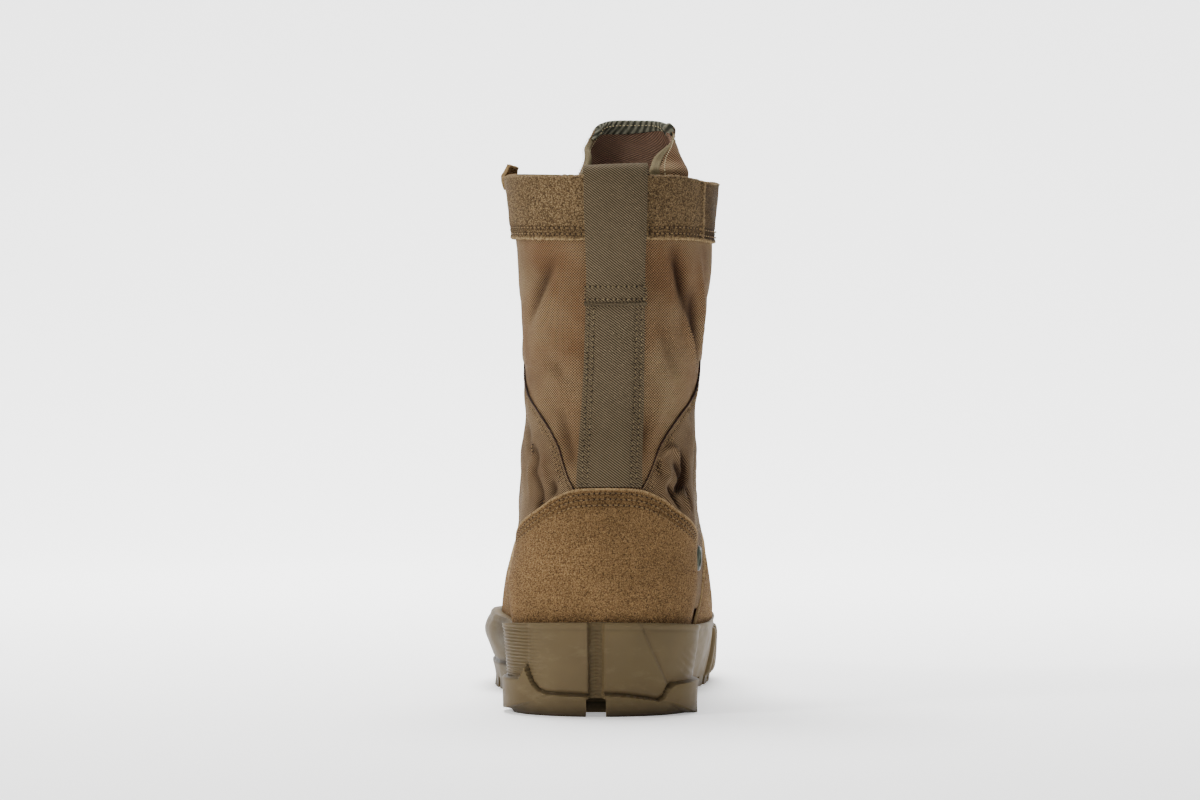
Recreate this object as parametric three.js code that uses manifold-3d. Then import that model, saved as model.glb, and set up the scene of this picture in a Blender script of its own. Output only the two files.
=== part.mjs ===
// A left jungle boot, 8 inches tall, in millimetres.
// The toe points along +Y, the inner side of the foot along +X, and +Z is up.
// The origin is the centre of the heel on the floor.
import * as THREE from "three";
import { mergeVertices } from "three/addons/utils/BufferGeometryUtils.js";
import Module from "manifold-3d";

const wasm = await Module();
wasm.setup();

// Driving dimensions of the last and the sole
const footLength = 300;
const heelSetback = 40;
const ballWidth = 108;
const heelWidth = 85;
const shaftWidth = 80.6;
const heelHeight = 26;
const ankleRise = 104;
const shaftRise = 100.8;

// Walls, overlays and the gap that neighbours keep
const upperWall = 2.2;
const clearance = 0.3;
const suedeThickness = 1.4;
const webbingThickness = 1.5;
const insoleThickness = 4;
const insoleEase = 0.6;

// Tongue
const tongueThickness = 3.4;
const tongueEase = 0.5;
const tongueRise = 25;
const tongueTopWidth = 56;
const tongueFirstRow = 5.1;
const tongueFootSpread = 0.62;
const tongueShaftSpread = 0.95;

// Sole tread and heel
const lugDepth = 5;
const lugPitch = 16;
const channelWidth = 5.5;
const archRise = 7;
const archSlope = 6;
const chevronSweep = 0.3;
const sideRibCount = 5;
const grooveWidth = 6.2;
const grooveDepth = 2.6;
const notchWidth = 8.5;
const notchHeight = 8;
const heelLip = 2.4;
const sideRibDepth = 1.6;
const sideRibWidth = 7;

// Throat, lacing and webbing
const throatBottomHalf = 9;
const throatTopHalf = 25;
const eyestayWidth = 25;
const collarBandHeight = 27.5;
const stripWidth = 26.4;
const tabWidth = 27.5;
const tabDrop = 52;
const tabLoopRise = 5;
const tabEase = 0.9;
const eyeletPairs = 4;
const hookPairs = 4;
const eyeletDiameter = 10.5;
const eyeletHole = 5;
const eyeletThickness = 1.4;
const hookLength = 11;
const hookWidth = 5.5;
const hookHeight = 5.4;
const hookMetal = 1.1;
const laceDiameter = 3.6;
const laceRise = 3.4;
const eyeletSeat = 0.75;
const hookSeat = 0.4;
const ventDiameter = 12;
const ventThickness = 1.6;

// Places along the sole, as shares of footLength; the groove's lies across the heel
const archStart = 0.275;
const archEnd = 0.465;
const treadStart = 0.505;
const treadEnd = 0.93;
const sideRibStart = 0.6;
const grooveCentre = -0.016;

// Places up the last, as ring rows, and of the vents along it
const throatRow = 5.62;
const eyestayRow = 5.72;
const firstPairRise = 0.35;
const lastPairDrop = 0.45;
const pairSpread = 0.85;
const eyeletInsetShare = 0.36;
const ventRow = 3.7;
const ventPlaces = [0.42, 0.51];

// How finely the forms are faceted
const ringPoints = 32;
const ringsPerRow = 1.5;

// Sections of the last, one row a ring from the sole's feather line to the collar.
// Y columns are shares of footLength from the heel's back. Z columns count 0 at the
// footbed, 1 at the ankle and 2 at the collar. camber is a share of heelHeight, the
// heel and waist half widths are shares of heelWidth (of shaftWidth above the ankle),
// and the other columns are shares of ballWidth.
const RING_COLUMNS = [
  "backY", "backZ", "frontY", "frontZ", "camber", "backRound", "frontRound",
  "heel", "waist", "ball", "toe", "centreBack", "centreFront",
];
const RINGS = [
  [0.03, 0.0, 0.953, -0.03, 0.38, 0.27, 0.4, 0.36, 0.33, 0.375, 0.315, 0.005, 0.06],
  [0.023, 0.067, 0.972, 0.05, 0.34, 0.28, 0.42, 0.412, 0.38, 0.436, 0.365, 0.006, 0.07],
  [0.02, 0.154, 0.972, 0.154, 0.22, 0.29, 0.43, 0.447, 0.41, 0.446, 0.37, 0.007, 0.07],
  [0.014, 0.279, 0.936, 0.285, 0.1, 0.3, 0.43, 0.463, 0.435, 0.428, 0.35, 0.011, 0.07],
  [0.02, 0.394, 0.862, 0.37, 0.03, 0.31, 0.42, 0.45, 0.45, 0.402, 0.315, 0.02, 0.065],
  [0.032, 0.519, 0.744, 0.455, 0, 0.32, 0.42, 0.438, 0.463, 0.382, 0.29, 0.027, 0.055],
  [0.046, 0.673, 0.62, 0.612, 0, 0.33, 0.42, 0.425, 0.46, 0.345, 0.28, 0.03, 0.045],
  [0.054, 0.827, 0.518, 0.808, 0, 0.35, 0.39, 0.437, 0.45, 0.333, 0.28, 0.035, 0.042],
  [0.06, 1.0, 0.443, 1.06, 0, 0.37, 0.34, 0.459, 0.438, 0.333, 0.28, 0.042, 0.046],
  [0.057, 1.297, 0.412, 1.38, 0, 0.39, 0.32, 0.5, 0.475, 0.333, 0.28, 0.053, 0.054],
  [0.048, 1.644, 0.409, 1.71, 0, 0.39, 0.28, 0.518, 0.505, 0.333, 0.28, 0.045, 0.054],
  [0.042, 2.0, 0.415, 2.07, 0, 0.4, 0.24, 0.515, 0.565, 0.333, 0.28, 0.02, 0.052],
].map((cells) => Object.fromEntries(cells.map((cell, i) => [RING_COLUMNS[i], cell])));
const collarRow = RINGS.length - 1;

// Where along the foot the four half widths are taken, as shares of footLength
const WIDTH_STATIONS = { heel: 0.133, waist: 0.35, ball: 0.6, toe: 0.85 };

// Sections of the rubber sole along the foot. y is a share of footLength, spring and the
// two top edges are shares of heelHeight, and the half widths are shares of ballWidth:
// at the floor, low on the wall, at its bulge and at its top edge, lateral then medial.
const SOLE_COLUMNS = [
  "y", "spring", "topL", "topM", "floorL", "lowL", "bulgeL", "edgeL", "floorM", "lowM", "bulgeM", "edgeM",
];
const SOLE_STATIONS = [
  [0.0, 0.0, 1.55, 1.55, 0.366, 0.369, 0.38, 0.389, 0.368, 0.37, 0.392, 0.403],
  [0.13, 0.0, 1.45, 1.41, 0.366, 0.369, 0.38, 0.389, 0.368, 0.37, 0.392, 0.403],
  [0.267, 0.0, 1.33, 1.29, 0.335, 0.348, 0.365, 0.374, 0.335, 0.34, 0.36, 0.374],
  [0.383, 0.0, 1.29, 1.23, 0.305, 0.324, 0.36, 0.364, 0.3, 0.32, 0.355, 0.378],
  [0.43, 0.0, 1.3, 1.21, 0.33, 0.35, 0.39, 0.388, 0.33, 0.355, 0.4, 0.418],
  [0.5, 0.0, 1.35, 1.2, 0.41, 0.425, 0.468, 0.45, 0.395, 0.42, 0.458, 0.468],
  [0.6, 0.0, 1.38, 1.22, 0.449, 0.457, 0.494, 0.466, 0.46, 0.475, 0.492, 0.494],
  [0.717, 0.02, 1.34, 1.24, 0.43, 0.446, 0.475, 0.455, 0.483, 0.497, 0.502, 0.503],
  [0.85, 0.13, 1.32, 1.3, 0.315, 0.335, 0.352, 0.348, 0.4, 0.425, 0.44, 0.436],
  [0.95, 0.36, 1.46, 1.44, 0.29, 0.31, 0.325, 0.32, 0.37, 0.395, 0.41, 0.405],
  [1.0, 0.54, 1.62, 1.62, 0.28, 0.3, 0.315, 0.31, 0.36, 0.385, 0.4, 0.395],
].map((cells) => Object.fromEntries(cells.map((cell, i) => [SOLE_COLUMNS[i], cell])));

// Levels of the sole's wall: height as a share of the wall, how far the outline ends lie
// inside the heel's back and the toe tip (shares of footLength), which half width the
// level takes and how much of the heel's lip it carries.
const SOLE_LEVELS = [
  { height: 0.0, back: 0.005, front: 0.04, from: "floor", to: "floor", blend: 0, lip: 0 },
  { height: 0.06, back: 0.005, front: 0.033, from: "floor", to: "floor", blend: 0, lip: 0.15 },
  { height: 0.17, back: 0.004, front: 0.022, from: "floor", to: "low", blend: 0.4, lip: 1 },
  { height: 0.26, back: 0.004, front: 0.015, from: "floor", to: "low", blend: 0.8, lip: 0.1 },
  { height: 0.4, back: 0.003, front: 0.008, from: "low", to: "bulge", blend: 0.3, lip: 0 },
  { height: 0.72, back: 0.001, front: 0.0, from: "bulge", to: "bulge", blend: 0, lip: 0 },
  { height: 1.0, back: 0.0, front: 0.005, from: "edge", to: "edge", blend: 0, lip: 0 },
];
const soleBackRound = 0.3 * ballWidth;
const soleFrontRound = 0.5 * ballWidth;
const soleSwing = 0.055 * ballWidth;

// Top edge of the heel counter: ring rows by the turn from the heel's back
const COUNTER_EDGE = [
  { turn: 0, row: 6.05 },
  { turn: 0.25, row: 6.0 },
  { turn: 0.41, row: 5.78 },
  { turn: 0.55, row: 5.45 },
  { turn: 0.7, row: 5.15 },
  { turn: 0.85, row: 4.75 },
  { turn: 1.05, row: 4.0 },
  { turn: 1.25, row: 2.9 },
  { turn: 1.42, row: 1.7 },
];
// Rear edge of the vamp: turns from the heel's back by ring row
const VAMP_EDGE = [
  { row: 0.7, turn: 1.42 },
  { row: 2, turn: 1.52 },
  { row: 3, turn: 1.66 },
  { row: 4, turn: 1.88 },
  { row: 5, turn: 2.3 },
  { row: 5.5, turn: 2.68 },
];
// The tongue above the collar, by share of its rise: centre, half width and depth of the
// curl as shares of tongueTopWidth, and the angles in radians at which its edges lie
const TONGUE_TOP = [
  { rise: -0.6, centre: 0.2, half: 0.56, depth: 0.5, left: -1.6, right: 2.2, back: -0.24 },
  { rise: 0.0, centre: 0.31, half: 0.5, depth: 0.36, left: -1.95, right: 2.65, back: -0.16 },
  { rise: 0.5, centre: 0.28, half: 0.44, depth: 0.3, left: -1.75, right: 2.1, back: -0.1 },
  { rise: 1.0, centre: 0.25, half: 0.37, depth: 0.24, left: -1.45, right: 1.5, back: -0.05 },
];

// Small maths
const mix = (a, b, share) => a + (b - a) * share;
const clamp = (value, low, high) => Math.min(high, Math.max(low, value));
const smooth = (share) => {
  const s = clamp(share, 0, 1);
  return s * s * (3 - 2 * s);
};

// A smooth curve through the values of neighbouring table rows
function spline(values, position) {
  const last = values.length - 1;
  const i = clamp(Math.floor(position), 0, last - 1);
  const s = position - i;
  const b = values[i];
  const c = values[i + 1];
  const a = i > 0 ? values[i - 1] : 2 * b - c;
  const d = i < last - 1 ? values[i + 2] : 2 * c - b;
  const bend = 2 * a - 5 * b + 4 * c - d;
  return b + 0.5 * s * (c - a + s * (bend + s * (3 * (b - c) + d - a)));
}

// A value of one column at a place in another column that rises
function lookUp(table, key, place, column) {
  const last = table.length - 1;
  let i = 0;
  while (i < last - 1 && table[i + 1][key] < place) i += 1;
  const share = (place - table[i][key]) / (table[i + 1][key] - table[i][key]);
  return spline(table.map((row) => row[column]), i + clamp(share, 0, 1));
}

const alongFoot = (share) => share * footLength - heelSetback;
const lastHeight = (share) =>
  heelHeight + Math.min(share, 1) * ankleRise + Math.max(share - 1, 0) * shaftRise;

// The heel and toe ends of an outline are quarter ellipses
const endRound = (distance, radius) =>
  distance >= radius ? 1 : Math.sqrt(Math.max(0, 1 - (1 - distance / radius) ** 2));

// One ring of the last, worked out in millimetres
function ringAt(row) {
  const at = (column) => spline(RINGS.map((ring) => ring[column]), clamp(row, 0, collarRow));
  const bodyWidth = mix(heelWidth, shaftWidth, smooth(row - 7));
  return {
    backY: alongFoot(at("backY")),
    frontY: alongFoot(at("frontY")),
    backZ: lastHeight(at("backZ")),
    frontZ: lastHeight(at("frontZ")),
    camber: at("camber") * heelHeight,
    backRound: at("backRound") * ballWidth,
    frontRound: at("frontRound") * ballWidth,
    halves: [at("heel") * bodyWidth, at("waist") * bodyWidth, at("ball") * ballWidth, at("toe") * ballWidth],
    centreBack: at("centreBack") * ballWidth,
    centreFront: at("centreFront") * ballWidth,
  };
}
const ringCache = new Map();
function cachedRing(row) {
  if (!ringCache.has(row)) ringCache.set(row, ringAt(row));
  return ringCache.get(row);
}

const stationPlaces = Object.values(WIDTH_STATIONS).map(alongFoot);
function halfWidthAt(ring, y) {
  const last = stationPlaces.length - 1;
  let i = 0;
  while (i < last - 1 && stationPlaces[i + 1] < y) i += 1;
  const share = (y - stationPlaces[i]) / (stationPlaces[i + 1] - stationPlaces[i]);
  return spline(ring.halves, i + clamp(share, 0, 1));
}

// A point of the last's surface. turn is 0 at the heel's back and half a circle at the
// front, above zero on the inner side. Rows past the collar go on straight up.
const rowLift = 0.46 * heelHeight;
function lastPoint(turn, row) {
  const ring = cachedRing(row);
  let side = Math.sign(turn);
  if (Math.abs(turn) > Math.PI) side = -side;
  const share = (1 - Math.cos(turn)) / 2;
  const span = ring.frontY - ring.backY;
  const y = ring.backY + span * share;
  const ends = endRound(span * share, ring.backRound) * endRound(span * (1 - share), ring.frontRound);
  const centre = mix(ring.centreBack, ring.centreFront, share ** 2);
  const dip = Math.sin(Math.PI * clamp((share - 0.12) / 0.88, 0, 1)) ** 2;
  const over = Math.max(row - collarRow, 0) + Math.min(row, 0);
  return new THREE.Vector3(
    centre + side * halfWidthAt(ring, y) * ends,
    y,
    mix(ring.backZ, ring.frontZ, share) - ring.camber * dip + over * rowLift,
  );
}

// The last's surface moved outwards by an offset
function offsetPoint(turn, row, offset) {
  const point = lastPoint(turn, row);
  if (offset === 0) return point;
  const step = 0.02;
  const low = clamp(row - 0.1, 0.001, collarRow - 0.2);
  const high = clamp(row + 0.1, 0.2, collarRow - 0.001);
  const along = lastPoint(turn + step, row).sub(lastPoint(turn - step, row));
  const up = lastPoint(turn, high).sub(lastPoint(turn, low));
  return point.addScaledVector(along.cross(up).normalize(), offset);
}

// The direction that the last's surface faces
const outwardAt = (turn, row) =>
  offsetPoint(turn, row, clearance).sub(offsetPoint(turn, row, 0)).normalize();

// The turn at which the way round a ring from its front reaches a length
function turnFromFront(row, side, length) {
  const steps = 120;
  let before = lastPoint(side * Math.PI, row);
  let travelled = 0;
  for (let i = 1; i <= steps; i += 1) {
    const turn = side * Math.PI * (1 - i / steps);
    const here = lastPoint(turn, row);
    const stride = here.distanceTo(before);
    if (travelled + stride >= length) {
      return side * Math.PI * (1 - (i - 1 + (length - travelled) / stride) / steps);
    }
    travelled += stride;
    before = here;
  }
  return 0;
}

// Solids from points
function solidOf(points, faces) {
  const geometry = new THREE.BufferGeometry();
  const places = points.flatMap((p) => [p.x, p.y, p.z]);
  geometry.setAttribute("position", new THREE.Float32BufferAttribute(places, 3));
  geometry.setIndex(faces.flat());
  return solidFrom(geometry);
}
function solidFrom(source) {
  const bare = source.clone();
  bare.deleteAttribute("normal");
  bare.deleteAttribute("uv");
  const merged = mergeVertices(bare, 1e-4);
  const made = new wasm.Manifold(
    new wasm.Mesh({
      numProp: 3,
      vertProperties: Float32Array.from(merged.attributes.position.array),
      triVerts: Uint32Array.from(merged.index.array),
    }),
  );
  if (made.volume() > 0) return made;
  const turned = Uint32Array.from(merged.index.array);
  for (let i = 0; i < turned.length; i += 3) {
    [turned[i + 1], turned[i + 2]] = [turned[i + 2], turned[i + 1]];
  }
  return new wasm.Manifold(
    new wasm.Mesh({
      numProp: 3,
      vertProperties: Float32Array.from(merged.attributes.position.array),
      triVerts: turned,
    }),
  );
}

// A closed stack of rings with the same count of points. The end caps join each point to
// the one across from it, so a cap follows a ring that isn't flat.
function stackedRings(rings) {
  const count = rings[0].length;
  const faces = [];
  for (let r = 0; r + 1 < rings.length; r += 1) {
    for (let i = 0; i < count; i += 1) {
      const next = (i + 1) % count;
      const a = r * count + i;
      const b = r * count + next;
      faces.push([a, b, b + count], [a, b + count, a + count]);
    }
  }
  const top = (rings.length - 1) * count;
  for (let i = 0; i < count / 2; i += 1) {
    const across = (count - i) % count;
    const next = i + 1;
    const nextAcross = count - i - 1;
    if (across !== i) {
      faces.push([i, across, nextAcross]);
      faces.push([top + i, top + nextAcross, top + across]);
    }
    if (next !== nextAcross) {
      faces.push([i, nextAcross, next]);
      faces.push([top + i, top + next, top + nextAcross]);
    }
  }
  return solidOf(rings.flat(), faces);
}

// A closed block over a sheet: inner and outer grids of the same size, joined at the rim
function block(inner, outer) {
  const rows = inner.length;
  const columns = inner[0].length;
  const size = rows * columns;
  const id = (r, c) => r * columns + c;
  const faces = [];
  for (let r = 0; r + 1 < rows; r += 1) {
    for (let c = 0; c + 1 < columns; c += 1) {
      const [a, b, d, e] = [id(r, c), id(r, c + 1), id(r + 1, c + 1), id(r + 1, c)];
      faces.push([a, d, b], [a, e, d]);
      faces.push([size + a, size + b, size + d], [size + a, size + d, size + e]);
    }
  }
  const rim = [];
  for (let c = 0; c + 1 < columns; c += 1) rim.push(id(0, c));
  for (let r = 0; r + 1 < rows; r += 1) rim.push(id(r, columns - 1));
  for (let c = columns - 1; c > 0; c -= 1) rim.push(id(rows - 1, c));
  for (let r = rows - 1; r > 0; r -= 1) rim.push(id(r, 0));
  rim.forEach((from, i) => {
    const to = rim[(i + 1) % rim.length];
    faces.push([from, to, size + to], [from, size + to, size + from]);
  });
  return solidOf([...inner.flat(), ...outer.flat()], faces);
}

// The last as a closed form, grown by an offset, between two ring rows. below and above
// carry the form on past its ends.
function lastForm(offset, firstRow, lastRow, below = 0, above = 0) {
  const rings = [];
  const steps = Math.max(1, Math.ceil((lastRow - firstRow) * ringsPerRow));
  const turns = Array.from({ length: ringPoints }, (_, i) => Math.PI * (1 - (2 * i) / ringPoints));
  for (let s = 0; s <= steps; s += 1) {
    const row = mix(firstRow, lastRow, s / steps);
    rings.push(turns.map((turn) => offsetPoint(turn, row, offset)));
  }
  const shifted = (ring, lift) => ring.map((p) => new THREE.Vector3(p.x, p.y, p.z + lift));
  if (below > 0) rings.unshift(shifted(rings[0], -below));
  if (above > 0) rings.push(shifted(rings[rings.length - 1], above));
  return stackedRings(rings);
}

// A thick patch of the last's surface, used as a cutter. place(across, up) gives its turn
// and row for two shares from 0 to 1.
function patch(place, acrossSteps, upSteps, innerOffset, outerOffset) {
  const grid = (offset) =>
    Array.from({ length: upSteps + 1 }, (_, r) =>
      Array.from({ length: acrossSteps + 1 }, (_, c) => {
        const { turn, row } = place(c / acrossSteps, r / upSteps);
        return offsetPoint(turn, row, offset);
      }),
    );
  return block(grid(innerOffset), grid(outerOffset));
}

const cutReach = suedeThickness * 5;
const overlayInner = clearance;
const overlayOuter = clearance + suedeThickness;
const overlayForm = lastForm(overlayOuter, 0, collarRow).subtract(
  lastForm(overlayInner, 0, collarRow, heelHeight, heelHeight),
);
const overlay = (place, acrossSteps, upSteps) =>
  overlayForm.intersect(patch(place, acrossSteps, upSteps, -cutReach, cutReach));

// Throat opening: half its width by ring row, measured round the front
const throatHalfAt = (row) => {
  const share = clamp((row - throatRow) / (collarRow - throatRow), 0, 1);
  return mix(throatBottomHalf, throatTopHalf, share ** 0.8);
};
const throatEdge = (row, side, beyond) => turnFromFront(row, side, throatHalfAt(row) + beyond);

function throatCutter() {
  const place = (across, up) => {
    const row = mix(throatRow, collarRow + 1, up);
    const side = across < 0.5 ? -1 : 1;
    const half = throatHalfAt(row) * Math.abs(across * 2 - 1);
    return { turn: turnFromFront(row, side, Math.max(half, 0.001)), row };
  };
  return patch(place, 4, 11, -cutReach, cutReach);
}

// Sole
function soleColumn(y, column) {
  return lookUp(SOLE_STATIONS, "y", clamp((y + heelSetback) / footLength, 0, 1), column);
}
const springAt = (y) => Math.max(0, soleColumn(y, "spring")) * heelHeight;

function solePoint(turn, level, inset = 0) {
  const side = Math.sign(turn) || 1;
  const mark = side > 0 ? "M" : "L";
  const share = (1 - Math.cos(turn)) / 2;
  const back = alongFoot(level.back) + inset;
  const front = alongFoot(1 - level.front) - inset;
  const y = mix(back, front, share);
  const span = front - back;
  const ends = endRound(span * share, soleBackRound) * endRound(span * (1 - share), soleFrontRound);
  const below = soleColumn(y, level.from + mark);
  const above = soleColumn(y, level.to + mark);
  const width = mix(below, above, level.blend) * ballWidth;
  const heelShare = 1 - smooth((y / heelSetback - 0.5) / 0.75);
  const lip = heelLip * level.lip * heelShare;
  const centre = soleSwing * smooth((y / footLength - 0.2) / 0.5);
  const spring = springAt(y);
  const top = soleColumn(y, "top" + mark) * heelHeight;
  const cosHeel = Math.cos(Math.min(Math.abs(turn) * 1.9, Math.PI / 2));
  return new THREE.Vector3(
    centre + (side * (width + lip * 0.5 - inset) - centre) * ends,
    y - lip * cosHeel,
    spring + level.height * (top - spring),
  );
}

function soleForm() {
  const turns = Array.from({ length: ringPoints }, (_, i) => Math.PI * (1 - (2 * i) / ringPoints));
  return stackedRings(SOLE_LEVELS.map((level) => turns.map((turn) => solePoint(turn, level))));
}

// A box with its centre and sizes, turned about Z
function boxSolid(size, centre, turnZ = 0) {
  const shape = new THREE.BoxGeometry(...size);
  shape.rotateZ(turnZ);
  shape.translate(...centre);
  return solidFrom(shape);
}

function archCutter() {
  const start = alongFoot(archStart);
  const end = alongFoot(archEnd);
  const outline = new THREE.Shape([
    new THREE.Vector2(start, -1),
    new THREE.Vector2(start + archSlope * 0.4, archRise * 0.75),
    new THREE.Vector2(start + archSlope * 1.4, archRise),
    new THREE.Vector2(end - archSlope * 2, archRise),
    new THREE.Vector2(end, -1),
  ]);
  const prism = new THREE.ExtrudeGeometry(outline, { depth: ballWidth * 1.4, bevelEnabled: false });
  prism.applyMatrix4(new THREE.Matrix4().makeBasis(
    new THREE.Vector3(0, 1, 0), new THREE.Vector3(0, 0, 1), new THREE.Vector3(1, 0, 0)));
  prism.translate(-ballWidth * 0.7, 0, 0);
  return solidFrom(prism);
}

// Channels that part the tread into lugs: chevrons on the forefoot, straight on the heel
function treadCutters() {
  const cutters = [];
  const reach = ballWidth * 0.7;
  const deep = lugDepth * 4;
  const first = alongFoot(treadStart);
  const last = alongFoot(treadEnd);
  for (let y = first; y < last; y += lugPitch) {
    const top = springAt(y) + lugDepth;
    for (const side of [-1, 1]) {
      const back = y - reach * 0.5 * Math.tan(chevronSweep) + channelWidth;
      const middle = [side * reach * 0.5, back, top - deep / 2];
      cutters.push(boxSolid([reach * 1.08, channelWidth, deep], middle, -side * chevronSweep));
    }
    const spine = [soleSwing, y + lugPitch * 0.2, top - deep / 2 - 0.01];
    cutters.push(boxSolid([channelWidth, lugPitch * 1.1, deep], spine));
  }
  for (const y of [-0.4 * heelSetback, 0.45 * heelSetback]) {
    cutters.push(boxSolid([ballWidth, channelWidth, deep], [0, y, lugDepth - deep / 2]));
  }
  return cutters;
}

function heelCutters() {
  const x = grooveCentre * ballWidth;
  const backEdge = -heelSetback;
  const height = heelHeight * 2;
  return [
    boxSolid([grooveWidth, grooveDepth * 2, height], [x, backEdge, height / 2 + notchHeight]),
    boxSolid([notchWidth, heelSetback * 1.16, notchHeight * 2], [x, backEdge, 0]),
  ];
}

// Ribs that wrap up the side of the inner ball, for holding a rope
function sideRibs() {
  const ribs = [];
  const bulge = SOLE_LEVELS[4];
  const tall = heelHeight * 0.78;
  const deep = sideRibDepth * 4;
  for (let i = 0; i < sideRibCount; i += 1) {
    const y = alongFoot(sideRibStart) + i * lugPitch * 0.82;
    const wall = solePoint(Math.acos(1 - (2 * (y + heelSetback)) / footLength), bulge).x;
    const centre = [wall + sideRibDepth - deep / 2, y, tall / 2 + springAt(y)];
    ribs.push(boxSolid([deep, sideRibWidth, tall], centre));
  }
  return ribs;
}

function outsoleSolid() {
  let sole = soleForm();
  for (const rib of sideRibs()) sole = sole.add(rib);
  sole = sole.subtract(lastForm(overlayOuter + clearance, 0, 5, clearance, heelHeight));
  sole = sole.subtract(archCutter());
  for (const cutter of [...treadCutters(), ...heelCutters()]) sole = sole.subtract(cutter);
  return sole;
}

// Upper: the last's outer form less its inner form, open underneath, at the collar and at
// the throat
function upperSolid() {
  const outer = lastForm(0, 0, collarRow);
  const inner = lastForm(-upperWall, 0, collarRow, heelHeight / 2, heelHeight / 2);
  return outer.subtract(inner).subtract(throatCutter());
}

function insoleSolid() {
  const gap = upperWall + clearance;
  const rings = [0, 1].map((top) => {
    const turns = Array.from({ length: ringPoints }, (_, i) => Math.PI * (1 - (2 * i) / ringPoints));
    return turns.map((turn) => {
      const p = offsetPoint(turn, 0, -gap - insoleEase);
      p.z += top * insoleThickness;
      return p;
    });
  });
  return stackedRings(rings).intersect(lastForm(-gap, 0, 3, insoleThickness, 0));
}

// Overlays
function counterSolid() {
  const widest = COUNTER_EDGE[COUNTER_EDGE.length - 1].turn;
  const place = (across, up) => {
    const turn = (across * 2 - 1) * widest;
    const edge = lookUp(COUNTER_EDGE, "turn", Math.abs(turn), "row");
    return { turn, row: mix(1.0, edge, up) };
  };
  return overlay(place, 16, 3);
}

function vampSolid() {
  const lastVampRow = VAMP_EDGE[VAMP_EDGE.length - 1].row;
  const place = (across, up) => {
    const row = mix(0.7, lastVampRow, up);
    const edge = lookUp(VAMP_EDGE, "row", row, "turn");
    const signed = across * 2 - 1;
    const turn = Math.sign(signed || 1) * mix(Math.PI, edge, Math.abs(signed));
    return { turn: signed === 0 ? Math.PI - 1e-4 : turn, row };
  };
  return overlay(place, 12, 6);
}

function eyestaySolid(side) {
  const place = (across, up) => {
    const row = mix(eyestayRow, collarRow + 0.5, up);
    const spread = eyestayWidth * mix(0.75, 1, smooth((row - eyestayRow) / 2));
    return { turn: throatEdge(row, side, 0.4 + across * spread), row };
  };
  return overlay(place, 2, 11);
}

// The row of the last at a height above the floor, at the heel's back
function rowAtBack(height) {
  let low = 0;
  let high = collarRow;
  for (let i = 0; i < 30; i += 1) {
    const middle = (low + high) / 2;
    if (cachedRing(middle).backZ < height) low = middle;
    else high = middle;
  }
  return (low + high) / 2;
}
const collarZ = lastHeight(2);

function collarBandSolid() {
  const bottomRow = rowAtBack(collarZ - collarBandHeight);
  const place = (across, up) => {
    const row = mix(bottomRow, collarRow + 0.5, up);
    const start = throatEdge(row, -1, eyestayWidth + 0.8);
    const end = throatEdge(row, 1, eyestayWidth + 0.8);
    return { turn: mix(start, end, across), row };
  };
  return overlay(place, 12, 1);
}

// Webbing up the back, on a width measured across the heel's back
const stripCentre = (row) => mix(0.036, 0.062, smooth((row - 6) / 4)) * ballWidth;
function turnAtX(row, x) {
  let low = -1.2;
  let high = 1.2;
  for (let i = 0; i < 30; i += 1) {
    const middle = (low + high) / 2;
    if (lastPoint(middle, row).x < x) low = middle;
    else high = middle;
  }
  return (low + high) / 2;
}
function backStripSolid() {
  const first = rowAtBack(heelHeight + ankleRise * 0.685);
  const last = rowAtBack(collarZ - collarBandHeight - 0.6);
  const place = (across, up) => {
    const row = mix(first, last, up);
    return { turn: turnAtX(row, stripCentre(row) + (across - 0.5) * stripWidth), row };
  };
  return overlay(place, 2, 4);
}

// The pull tab: a strap that lies over the collar band, loops above the collar and goes
// down inside it. Its outline is drawn by height against the offset from the last.
function pullTabSolid() {
  const outerFace = overlayOuter + clearance + tabEase * 0.5;
  const innerFace = -upperWall - clearance - tabEase;
  const t = webbingThickness;
  const insideBottom = collarZ - collarBandHeight * 0.8;
  const legs = [1, 0.8, 0.6, 0.45, 0.3, 0.15].map((share) => collarZ - tabDrop * share);
  const loopTop = collarZ + tabLoopRise;
  const outline = [
    ...legs.map((z) => [z, outerFace + t]),
    [collarZ + 1, outerFace + t], [loopTop - 1.2, outerFace + t * 0.4],
    [loopTop, (outerFace + innerFace) / 2],
    [loopTop - 1.2, innerFace - t * 0.4], [collarZ + 1, innerFace - t],
    [collarZ - collarBandHeight * 0.4, innerFace - t], [insideBottom, innerFace - t],
    [insideBottom, innerFace], [collarZ - collarBandHeight * 0.4, innerFace],
    [collarZ + 0.6, innerFace], [loopTop - t - 0.8, innerFace + 1.2],
    [loopTop - t - 0.8, outerFace - 1.2], [collarZ + 0.6, outerFace],
    ...legs.map((z) => [z, outerFace]).reverse(),
  ];
  outline.reverse();
  const flat = outline.map(([z, offset]) => new THREE.Vector2(z, offset));
  const caps = THREE.ShapeUtils.triangulateShape(flat, []);
  const steps = 6;
  const points = [];
  for (let s = 0; s <= steps; s += 1) {
    for (const [z, offset] of outline) {
      const row = Math.min(rowAtBack(Math.min(z, collarZ - 0.01)), collarRow - 0.01);
      const x = stripCentre(row) + (s / steps - 0.5) * tabWidth;
      const p = offsetPoint(turnAtX(row, x), row, offset);
      points.push(new THREE.Vector3(x, p.y, z));
    }
  }
  const count = outline.length;
  const faces = [];
  for (let s = 0; s < steps; s += 1) {
    for (let i = 0; i < count; i += 1) {
      const a = s * count + i;
      const b = s * count + ((i + 1) % count);
      faces.push([a, b, b + count], [a, b + count, a + count]);
    }
  }
  for (const [a, b, c] of caps) {
    faces.push([c, b, a]);
    faces.push([steps * count + a, steps * count + b, steps * count + c]);
  }
  return solidOf(points, faces);
}

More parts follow.
